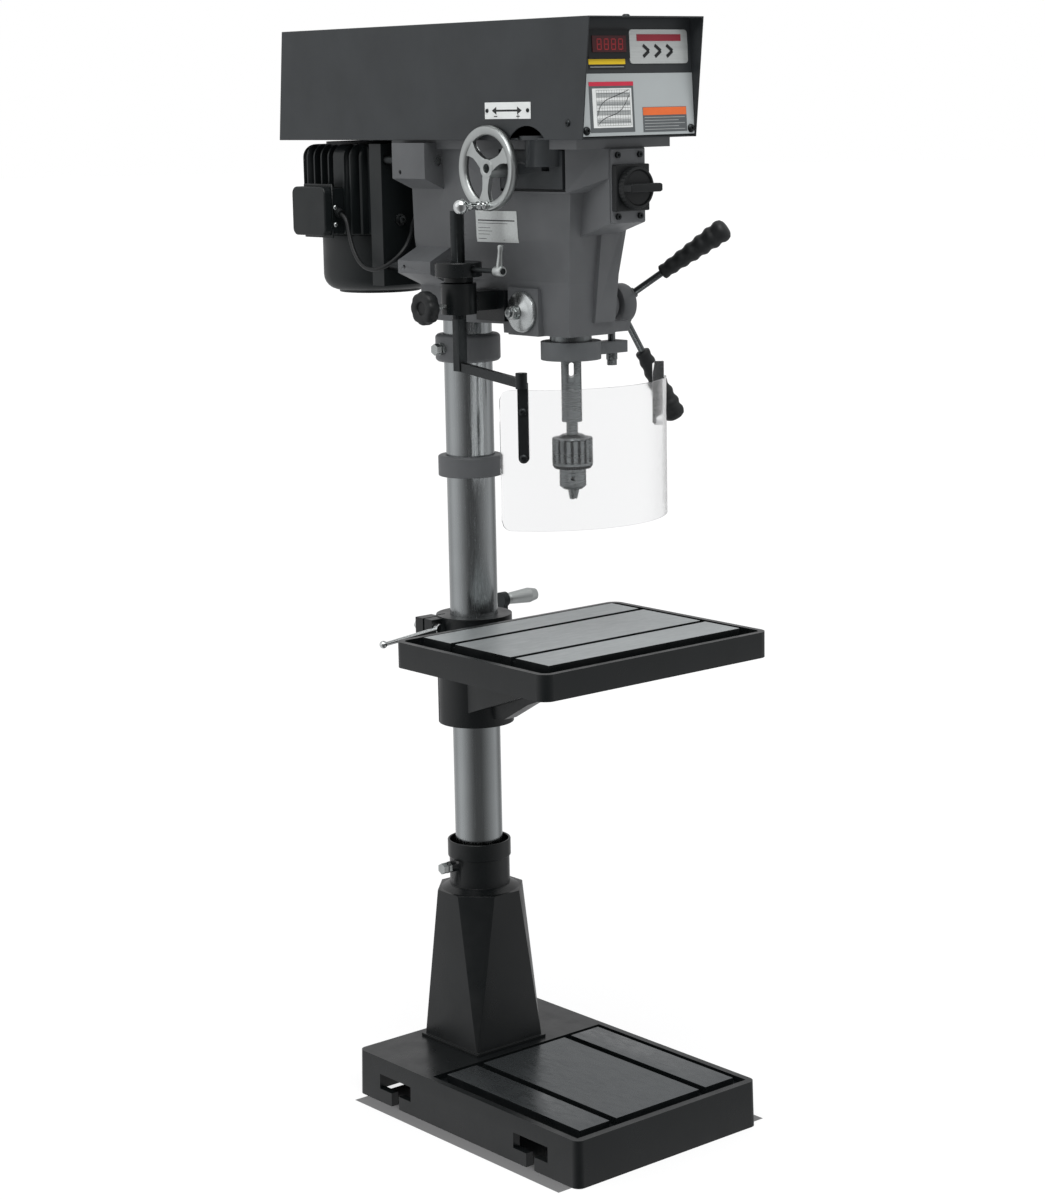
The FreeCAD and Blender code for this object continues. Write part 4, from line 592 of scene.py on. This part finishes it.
def screw(bm, at, axis, radius, height, slot=0):
    """Domed screw head with a recess."""
    matrix = aimed(at, axis)
    profile = [(0, 0), (radius, 0), (radius, height * 0.25), (radius * 0.86, height * 0.7), (radius * 0.55, height),
               (radius * 0.30, height), (radius * 0.26, height * 0.55), (0, height * 0.5)]
    lathe(bm, profile, matrix, 28, slot)


# ------------------------------------------------------------------ guard details

SHIELD_Y = -200
GUARD_STRIP_FACE = 194.4


def make_guard():
    at = Vector((-179, -135, 1349))
    bm = bmesh.new()

    def lobes(angle, radius, height):
        if radius < 18:
            return radius
        return radius - 1.5 * (0.5 - 0.5 * math.cos(angle * 8)) ** 2

    profile = [(0, 0.4), (9, 0.4), (11, 2), (22, 2.6), (25.4, 4.6), (26.4, 8), (26.4, 18.6), (25, 22), (21.4, 23.7),
               (12, 23.2), (10.4, 21.8), (10, 19.8), (0, 19.8)]
    lathe(bm, profile, aimed(at, (-1, 0, 0)), 192, 0, lobes)
    piece("guard_knob_finish", bm, [BLACK], "guard_screw", ["guard_knob"], 45)
    bm = bmesh.new()
    lathe(bm, [(0, -30), (4, -30), (4, 1), (0, 1)], aimed(at, (-1, 0, 0)), 32)
    piece("guard_knob_stud", bm, [BOLT], "guard_screw")

    bm = bmesh.new()
    outward = Vector((-158, -123, 0)).normalized()
    for level in (1127, 1198):
        screw(bm, Vector((0, SHIELD_Y, level)) + outward * GUARD_STRIP_FACE, outward, 6.5, 4.0)
    piece("guard_strip_screws", bm, [BLACKENED], "guard_slider", angle=40)

    lever_at = Vector((-125, -172, 1406))
    bm = bmesh.new()
    matrix = aimed(lever_at, (0, -1, 0))
    lathe(bm, [(0, -17), (3.9, -17), (3.9, 56), (0, 56)], matrix, 32, 1)
    lathe(bm, [(0, 54.2), (6.4, 54.2), (7.6, 55.2), (8, 60), (8, 71), (7.2, 72.6), (0, 72.6)], matrix, 40)
    arm_matrix = aimed((-125, -236, 1408), (0.02, -0.10, 1))
    lathe(bm, [(0, 0), (5.8, 0), (5.2, 11), (4.2, 22), (4.3, 30), (5.2, 35.4), (4.2, 38), (0, 38.4)], arm_matrix, 32)
    lathe(bm, [(0, 72), (5.0, 72), (5.0, 73), (4.2, 73.6), (0, 73.6)], matrix, 32, 1)
    piece("guard_lever_finish", bm, [ALLOY, BLACKENED], "guard_clamp", ["guard_lever"], 40)


make_guard()


# ------------------------------------------------------------------ clear shield

SHIELD_R, SHIELD_WALL = 188, 3
SHIELD_LOW, SHIELD_HIGH = 1013, 1230
SHIELD_FIRST, SHIELD_LAST = 206.0, 325.0


def make_shield():
    first, last = SHIELD_FIRST, SHIELD_LAST
    steps = 120
    columns = []
    for index in range(steps + 1):
        angle = math.radians(first + (last - first) * index / steps)
        ray = Vector((math.cos(angle), math.sin(angle), 0))
        columns.append((Vector((0, SHIELD_Y, 0)) + ray * (SHIELD_R - SHIELD_WALL),
                        Vector((0, SHIELD_Y, 0)) + ray * SHIELD_R))
    bm = bmesh.new()
    corner = 16

    def span(index):
        reach = min(index, steps - index) * (SHIELD_R * math.radians(last - first) / steps)
        if reach >= corner:
            return SHIELD_LOW, SHIELD_HIGH
        drop = corner - math.sqrt(max(0, corner ** 2 - (corner - reach) ** 2))
        return SHIELD_LOW + drop, SHIELD_HIGH - drop

    quads = []
    for index, (inner, outer) in enumerate(columns):
        low, high = span(index)
        quads.append([bm.verts.new((inner.x, inner.y, low)), bm.verts.new((outer.x, outer.y, low)),
                      bm.verts.new((outer.x, outer.y, high)), bm.verts.new((inner.x, inner.y, high))])
    bm.faces.new(quads[0])
    bm.faces.new(list(reversed(quads[-1])))
    for before, after in zip(quads, quads[1:]):
        for side in range(4):
            nxt = (side + 1) % 4
            bm.faces.new([before[side], after[side], after[nxt], before[nxt]])
    piece("guard_shield_finish", bm, [CLEAR], "guard_slider", ["guard_shield"], 30)
    bm = bmesh.new()
    angle = math.radians(last - 1.5)
    ray = Vector((math.cos(angle), math.sin(angle), 0))
    side = Vector((-math.sin(angle), math.cos(angle), 0))
    base = Vector((0, SHIELD_Y, 0))
    matrix = Matrix(((ray.x, 0, side.x, base.x), (ray.y, 0, side.y, base.y), (0, 1, 0, 0), (0, 0, 0, 1)))
    points = [(185.4, 1150), (171, 1150), (167, 1154), (167, 1248), (171, 1252), (185.4, 1252)]
    prism(bm, points, matrix, -1.5, 1.5, 0, 0.7, 2)
    piece("guard_shield_tab", bm, [CLEAR], "guard_slider", angle=30)


make_shield()


# ------------------------------------------------------------------ chuck

SPINDLE_Y = -257


def make_chuck():
    axis = aimed((0, SPINDLE_Y, 0), (0, 0, 1))
    bm = bmesh.new()

    def flutes(angle, radius, height):
        if radius < 31 or not 1100 < height < 1137:
            return radius
        phase = (angle * 18 / (2 * math.pi)) % 1.0
        return radius - 2.6 * (1 if 0.2 < phase < 0.62 else 0)

    profile = [(24.6, 1096.5), (31.8, 1096.5), (32, 1099.5), (32, 1101), (32, 1136), (32, 1138), (31.2, 1139.6),
               (29, 1140), (24.6, 1140)]
    # Flute bottoms take slot 1, the dark blackened finish: painted shade in the recesses between the ribs.
    for face in ring_closed(bm, profile, axis, 288, 0, flutes):
        spot = face.calc_center_median()
        if 1100 < spot.z < 1137 and math.hypot(spot.x, spot.y - SPINDLE_Y) < 30.6:
            face.material_index = 1

    def teeth(angle, radius, height):
        if radius < 26 or height > 1095.8:
            return radius
        return radius - 1.8 * (math.cos(angle * 48) > 0)

    gear = [(24.6, 1091.2), (28.6, 1091.2), (31.6, 1095.4), (31.8, 1096.3), (24.6, 1096.3)]
    ring_closed(bm, gear, axis, 288, 1, teeth)
    piece("chuck_sleeve_finish", bm, [TURNED, BLACKENED], "chuck_ring", ["chuck_sleeve"], 28)


make_chuck()


# ------------------------------------------------------------------ instrument panel and plates

def panel_y(z):
    return -421 + (z - 1608) * 10 / 172.4


def decal(bm, x0, x1, z0, z1, rise, slot, base=0.0):
    """Thin raised rectangle on the sloping front panel."""
    rings = []
    for lift in (base, rise):
        rings.append([bm.verts.new((x, panel_y(z) - lift, z)) for x, z in
                      ((x0, z0), (x1, z0), (x1, z1), (x0, z1))])
    low, high = rings
    faces = [bm.faces.new(high), bm.faces.new(list(reversed(low)))]
    for index in range(4):
        after = (index + 1) % 4
        faces.append(bm.faces.new([low[index], low[after], high[after], high[index]]))
    for face in faces:
        face.material_index = slot


def stroke(bm, points, width, rise, slot):
    """Thin line along (x, z) points on the front panel."""
    for (x0, z0), (x1, z1) in zip(points, points[1:]):
        along = Vector((x1 - x0, z1 - z0)).normalized()
        off = Vector((-along.y, along.x)) * (width / 2)
        corners = [(x0 + off.x, z0 + off.y), (x0 - off.x, z0 - off.y), (x1 - off.x, z1 - off.y),
                   (x1 + off.x, z1 + off.y)]
        face = bm.faces.new([bm.verts.new((x, panel_y(z) - rise, z)) for x, z in corners])
        face.material_index = slot


SEGMENTS = {"a": (0, 1, 1, 1), "b": (1, 0.5, 1, 1), "c": (1, 0, 1, 0.5), "d": (0, 0, 1, 0), "e": (0, 0, 0, 0.5),
            "f": (0, 0.5, 0, 1), "g": (0, 0.5, 1, 0.5)}


def make_panel():
    bm = bmesh.new()
    decal(bm, -113.4, 113.4, 1609, 1700, 0.7, 0)
    piece("panel_lower_sheet", bm, [PANEL_SILVER], "frame")

    bm = bmesh.new()
    decal(bm, -97.5, -9, 1614, 1688, 1.0, 0, 0.7)
    decal(bm, -97.5, -9, 1682, 1688, 1.3, 1, 0.7)
    decal(bm, -91.5, -13.5, 1621, 1678.5, 1.3, 2, 0.7)
    for low in (1627, 1640, 1653, 1666):
        decal(bm, -84, -17, low, low + 6.2, 1.42, 3, 1.2)
    for step in range(14):
        x = -84 + step * 67 / 13
        stroke(bm, [(x, 1624), (x, 1676)], 0.35, 1.5, 4)
    for step in range(11):
        z = 1624 + step * 5.2
        stroke(bm, [(-84, z), (-17, z)], 0.35, 1.5, 4)
    curve_a = [(-83, 1638), (-80, 1648), (-74, 1656), (-64, 1662), (-50, 1666), (-34, 1671), (-19, 1676)]
    curve_b = [(-83, 1625), (-76, 1631), (-66, 1636), (-54, 1639), (-44, 1642), (-34, 1648), (-26, 1657), (-18, 1669)]
    stroke(bm, curve_a, 0.9, 1.6, 4)
    stroke(bm, curve_b, 0.9, 1.6, 4)
    piece("panel_chart", bm, [GREY, HEADER, WHITE, PALE, INK], "frame")

    bm = bmesh.new()
    decal(bm, 8, 98, 1613, 1650, 1.0, 0, 0.7)
    decal(bm, 8.6, 97.4, 1638, 1649.4, 1.25, 1, 0.7)
    for row in range(5):
        stroke(bm, [(11, 1634.5 - row * 4.4), (94 - 13 * (row % 2), 1634.5 - row * 4.4)], 1.0, 1.15, 2)
    piece("panel_notice", bm, [GREY, ORANGE, PALE], "frame")

    bm = bmesh.new()
    decal(bm, -95, -22, 1713.4, 1721, 0.5, 1)
    decal(bm, -95, -22, 1706, 1713.2, 0.4, 0)
    stroke(bm, [(-92, 1709.6), (-25, 1709.6)], 1.0, 0.55, 2)
    piece("panel_strip", bm, [INK, YELLOW, PALE], "frame")

    bm = bmesh.new()
    outline = []
    for cx, cz, start in ((100, 1758, 0), (-7, 1758, 90), (-7, 1720, 180), (100, 1720, 270)):
        for step in range(7):
            angle = math.radians(start + 15 * step)
            outline.append((cx + 6 * math.cos(angle), cz + 6 * math.sin(angle)))
    rings = [[bm.verts.new((x, panel_y(z) - lift, z)) for x, z in outline] for lift in (0.0, 1.6)]
    face = bm.faces.new(rings[1])
    face.material_index = 0
    count = len(outline)
    for index in range(count):
        after = (index + 1) % count
        bm.faces.new([rings[0][index], rings[0][after], rings[1][after], rings[1][index]])
    decal(bm, 2, 92, 1747, 1757, 2.0, 1, 1.5)
    for start in (14, 38, 62):
        stroke(bm, [(start, 1741), (start + 12, 1732.5), (start, 1724)], 5.0, 2.0, 2)
    piece("panel_badge", bm, [PLATE, RED, INK], "frame")

    bm = bmesh.new()
    decal(bm, -90, -23, 1731, 1755, 5.4, 0, 3.4)
    for digit in range(4):
        left = -80.5 + digit * 14.2
        for x0, z0, x1, z1 in SEGMENTS.values():
            start = (left + x0 * 7.6, 1735 + z0 * 15)
            finish = (left + x1 * 7.6, 1735 + z1 * 15)
            stroke(bm, [start, finish], 1.7, 5.55, 1)
    piece("readout_window", bm, [WINDOW, DIGIT], "frame")


make_panel()


def make_side_plates():
    bm = bmesh.new()
    brick(bm, (-116.9, -307, 1636), (-116, -199, 1661), 0, 0.3, 1)

    def mark(points, slot=1):
        face = bm.faces.new([bm.verts.new((-117.0, y, z)) for y, z in points])
        face.material_index = slot

    mark([(-216, 1648.5), (-227, 1654.5), (-227, 1650), (-276, 1650), (-276, 1654.5), (-287, 1648.5),
          (-276, 1642.5), (-276, 1647), (-227, 1647), (-227, 1642.5)])
    mark([(-221, 1640.6), (-229, 1640.6), (-229, 1639), (-221, 1639)])
    mark([(-274, 1640.6), (-282, 1640.6), (-282, 1639), (-274, 1639)])
    mark([(-277.2, 1643.4), (-278.8, 1643.4), (-278.8, 1636.4), (-277.2, 1636.4)])
    piece("speed_plate", bm, [WHITE, INK], "frame")
    bm = bmesh.new()
    screw(bm, (-116, -391, 1629), (-1, 0, 0), 5.2, 3.0)
    for y in (-205, -301):
        screw(bm, (-116.9, y, 1648.5), (-1, 0, 0), 3.2, 2.2)
    for x in (-106, 106):
        screw(bm, (x, panel_y(1617) - 0.7, 1617), (0, -1, 0.06), 6.5, 4.0)
    screw(bm, (-22, -418, 1782.9), (0, 0, 1), 6, 3.4)
    for y in (-330, -100, 120, 310):
        screw(bm, (116, y, 1620), (1, 0, 0), 4.5, 3)
    piece("cover_screws", bm, [BLACKENED], "frame", angle=40)
    bm = bmesh.new()
    for place in ((-134, 172.4, 1496), (-134, 172.4, 1468)):
        screw(bm, place, (0, -1, 0), 4.0, 2.6)
    piece("lid_screws", bm, [BOLT], "frame", angle=40)


make_side_plates()


def make_nameplate():
    """Blank aluminium plate that follows the head's wall."""
    mesh = nodes["head_casting"].data
    head = BVHTree.FromPolygons([v.co.copy() for v in mesh.vertices], [tuple(p.vertices) for p in mesh.polygons])

    def wall(y, z):
        spot = head.ray_cast(vec(-300, y, z), Vector((1, 0, 0)))[0]
        return spot.x / MM

    bm = bmesh.new()
    rows, columns = 6, 14
    grid = []
    for row in range(rows + 1):
        line = []
        for column in range(columns + 1):
            y = -126 - 94 * column / columns
            z = 1446 + 49 * row / rows
            line.append(bm.verts.new((wall(y, z) - 0.8, y, z)))
        grid.append(line)
    for row in range(rows):
        for column in range(columns):
            bm.faces.new([grid[row][column], grid[row][column + 1], grid[row + 1][column + 1], grid[row + 1][column]])
    for z0, z1, y0, y1 in ((1479, 1480.8, -131, -215), (1475, 1475.8, -131, -200), (1468, 1468.7, -131, -160),
                           (1463, 1463.7, -131, -164), (1458, 1458.7, -131, -158), (1451, 1451.7, -131, -150)):
        steps = 10
        for step in range(steps):
            ya = y0 + (y1 - y0) * step / steps
            yb = y0 + (y1 - y0) * (step + 1) / steps
            face = bm.faces.new([bm.verts.new((wall(y, z) - 0.95, y, z)) for y, z in
                                 ((ya, z0), (yb, z0), (yb, z1), (ya, z1))])
            face.material_index = 1
    piece("name_plate", bm, [PLATE, INK], "frame")


make_nameplate()


# ------------------------------------------------------------------ motor lead

LEAD_ROUTE = [(-115, 183, 1484), (-115, 172, 1479.5), (-115.5, 165, 1466), (-117, 157, 1443), (-119, 144, 1421),
              (-122, 122, 1403), (-124, 98, 1396.5), (-123, 75, 1397.5), (-116, 57, 1405), (-104, 45, 1418),
              (-87.6, 42.4, 1435.6), (-70, 52.2, 1455.2), (-55, 67, 1473), (-45, 69, 1485)]


def make_lead():
    curve = bpy.data.curves.new("motor_lead_finish", "CURVE")
    curve.dimensions = "3D"
    spline = curve.splines.new("NURBS")
    spline.points.add(len(LEAD_ROUTE) - 1)
    for point, place in zip(spline.points, LEAD_ROUTE):
        point.co = (*vec(*place), 1)
    spline.order_u = 3
    spline.use_endpoint_u = True
    curve.bevel_depth = 3.5 * MM
    curve.bevel_resolution = 6
    curve.resolution_u = 16
    curve.materials.append(BLACK)
    obj = bpy.data.objects.new("motor_lead_finish", curve)
    scene.collection.objects.link(obj)
    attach(obj, "frame")
    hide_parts("motor_lead")


make_lead()


# ------------------------------------------------------------------ floor and light

def make_stage():
    bm = bmesh.new()
    lathe(bm, [(0, 0), (60000, 0)], Matrix.Identity(4), 96)
    mesh = bpy.data.meshes.new("floor")
    bm.to_mesh(mesh)
    bm.free()
    mesh.transform(Matrix.Scale(MM, 4))
    floor = bpy.data.objects.new("floor", mesh)
    scene.collection.objects.link(floor)
    finish = Finish("pale_floor", (0.2, 0.2, 0.202), 0.0, 0.8, 0.1)
    finish.tint(finish.noise(0.4, 2), 0.99, 1.01)
    finish.socket("Emission Color", (1, 1, 1, 1))
    # The floor glows evenly except inside the base's footprint, where emission drops to zero: a painted shadow under
    # the base.
    split = finish.tree.nodes.new("ShaderNodeSeparateXYZ")
    finish.tree.links.new(finish.place, split.inputs["Vector"])
    inside = []
    for axis, middle, half in (("X", 0, 0.224), ("Y", -0.19, 0.264)):
        near = finish.tree.nodes.new("ShaderNodeMath")
        near.operation = "COMPARE"
        near.inputs[1].default_value = middle
        near.inputs[2].default_value = half
        finish.tree.links.new(split.outputs[axis], near.inputs[0])
        inside.append(near.outputs["Value"])
    under_base_shadow = finish.tree.nodes.new("ShaderNodeMath")
    under_base_shadow.operation = "MULTIPLY"
    for index in range(2):
        finish.tree.links.new(inside[index], under_base_shadow.inputs[index])
    finish.tree.links.new(finish.spread(under_base_shadow.outputs["Value"], 0.8, 0.0, 0.0, 1.0),
                          finish.shader.inputs["Emission Strength"])
    mesh.materials.append(finish.material)
    floor.visible_glossy = False


make_stage()


# Bearing of the sky from 0 at -X anticlockwise to 1, and its brightness: lit sides and a dark band in front.
WORLD_BANDS = ((0, 0.62), (0.05, 0.36), (0.10, 0.18), (0.20, 0.18), (0.25, 0.34), (0.36, 0.75), (0.42, 0.95),
               (0.5, 0.42), (0.6, 0.9), (0.7, 1.0), (0.8, 0.85), (0.87, 1.2), (0.92, 1.1), (1, 0.62))


def make_world():
    world = bpy.data.worlds.new("studio")
    scene.world = world
    world.use_nodes = True
    tree = world.node_tree
    background = tree.nodes["Background"]
    background.inputs["Strength"].default_value = 0.66
    direction = tree.nodes.new("ShaderNodeTexCoord").outputs["Generated"]
    split = tree.nodes.new("ShaderNodeSeparateXYZ")
    tree.links.new(direction, split.inputs["Vector"])
    around = tree.nodes.new("ShaderNodeMath")
    around.operation = "ARCTAN2"
    tree.links.new(split.outputs["Y"], around.inputs[0])
    tree.links.new(split.outputs["X"], around.inputs[1])
    turn = tree.nodes.new("ShaderNodeMapRange")
    turn.inputs["From Min"].default_value = -math.pi
    turn.inputs["From Max"].default_value = math.pi
    tree.links.new(around.outputs["Value"], turn.inputs["Value"])
    bands = tree.nodes.new("ShaderNodeValToRGB")
    for place, level in WORLD_BANDS:
        stop = bands.color_ramp.elements[0] if place == 0 else bands.color_ramp.elements.new(place)
        if place == 1:
            bands.color_ramp.elements.remove(stop)
            stop = bands.color_ramp.elements[-1]
        stop.color = (level, level, level * 1.01, 1)
    tree.links.new(turn.outputs["Result"], bands.inputs["Fac"])
    rise = tree.nodes.new("ShaderNodeMapRange")
    rise.inputs["From Min"].default_value = 0.30
    rise.inputs["From Max"].default_value = 0.85
    tree.links.new(split.outputs["Z"], rise.inputs["Value"])
    overhead = tree.nodes.new("ShaderNodeMix")
    overhead.data_type = "RGBA"
    overhead.inputs["B"].default_value = (1.15, 1.15, 1.15, 1)
    tree.links.new(rise.outputs["Result"], overhead.inputs["Factor"])
    tree.links.new(bands.outputs["Color"], overhead.inputs["A"])
    tree.links.new(overhead.outputs["Result"], background.inputs["Color"])
    bright = tree.nodes.new("ShaderNodeBackground")
    bright.inputs["Color"].default_value = (1, 1, 1, 1)
    bright.inputs["Strength"].default_value = 1.0
    mix = tree.nodes.new("ShaderNodeMixShader")
    path = tree.nodes.new("ShaderNodeLightPath")
    tree.links.new(path.outputs["Is Camera Ray"], mix.inputs["Fac"])
    tree.links.new(background.outputs["Background"], mix.inputs[1])
    tree.links.new(bright.outputs["Background"], mix.inputs[2])
    tree.links.new(mix.outputs["Shader"], tree.nodes["World Output"].inputs["Surface"])


make_world()


def sun(name, direction, strength, spread):
    data = bpy.data.lights.new(name, "SUN")
    data.energy = strength
    data.angle = math.radians(spread)
    lamp = bpy.data.objects.new(name, data)
    scene.collection.objects.link(lamp)
    lamp.rotation_mode = "QUATERNION"
    lamp.rotation_quaternion = Vector((0, 0, -1)).rotation_difference(Vector(direction))
    return lamp


sun("key", (0.45, 0.75, -1.5), 1.9, 50)
sun("fill", (0.9, -0.2, -0.5), 0.35, 60)

scene.view_settings.view_transform = "Standard"
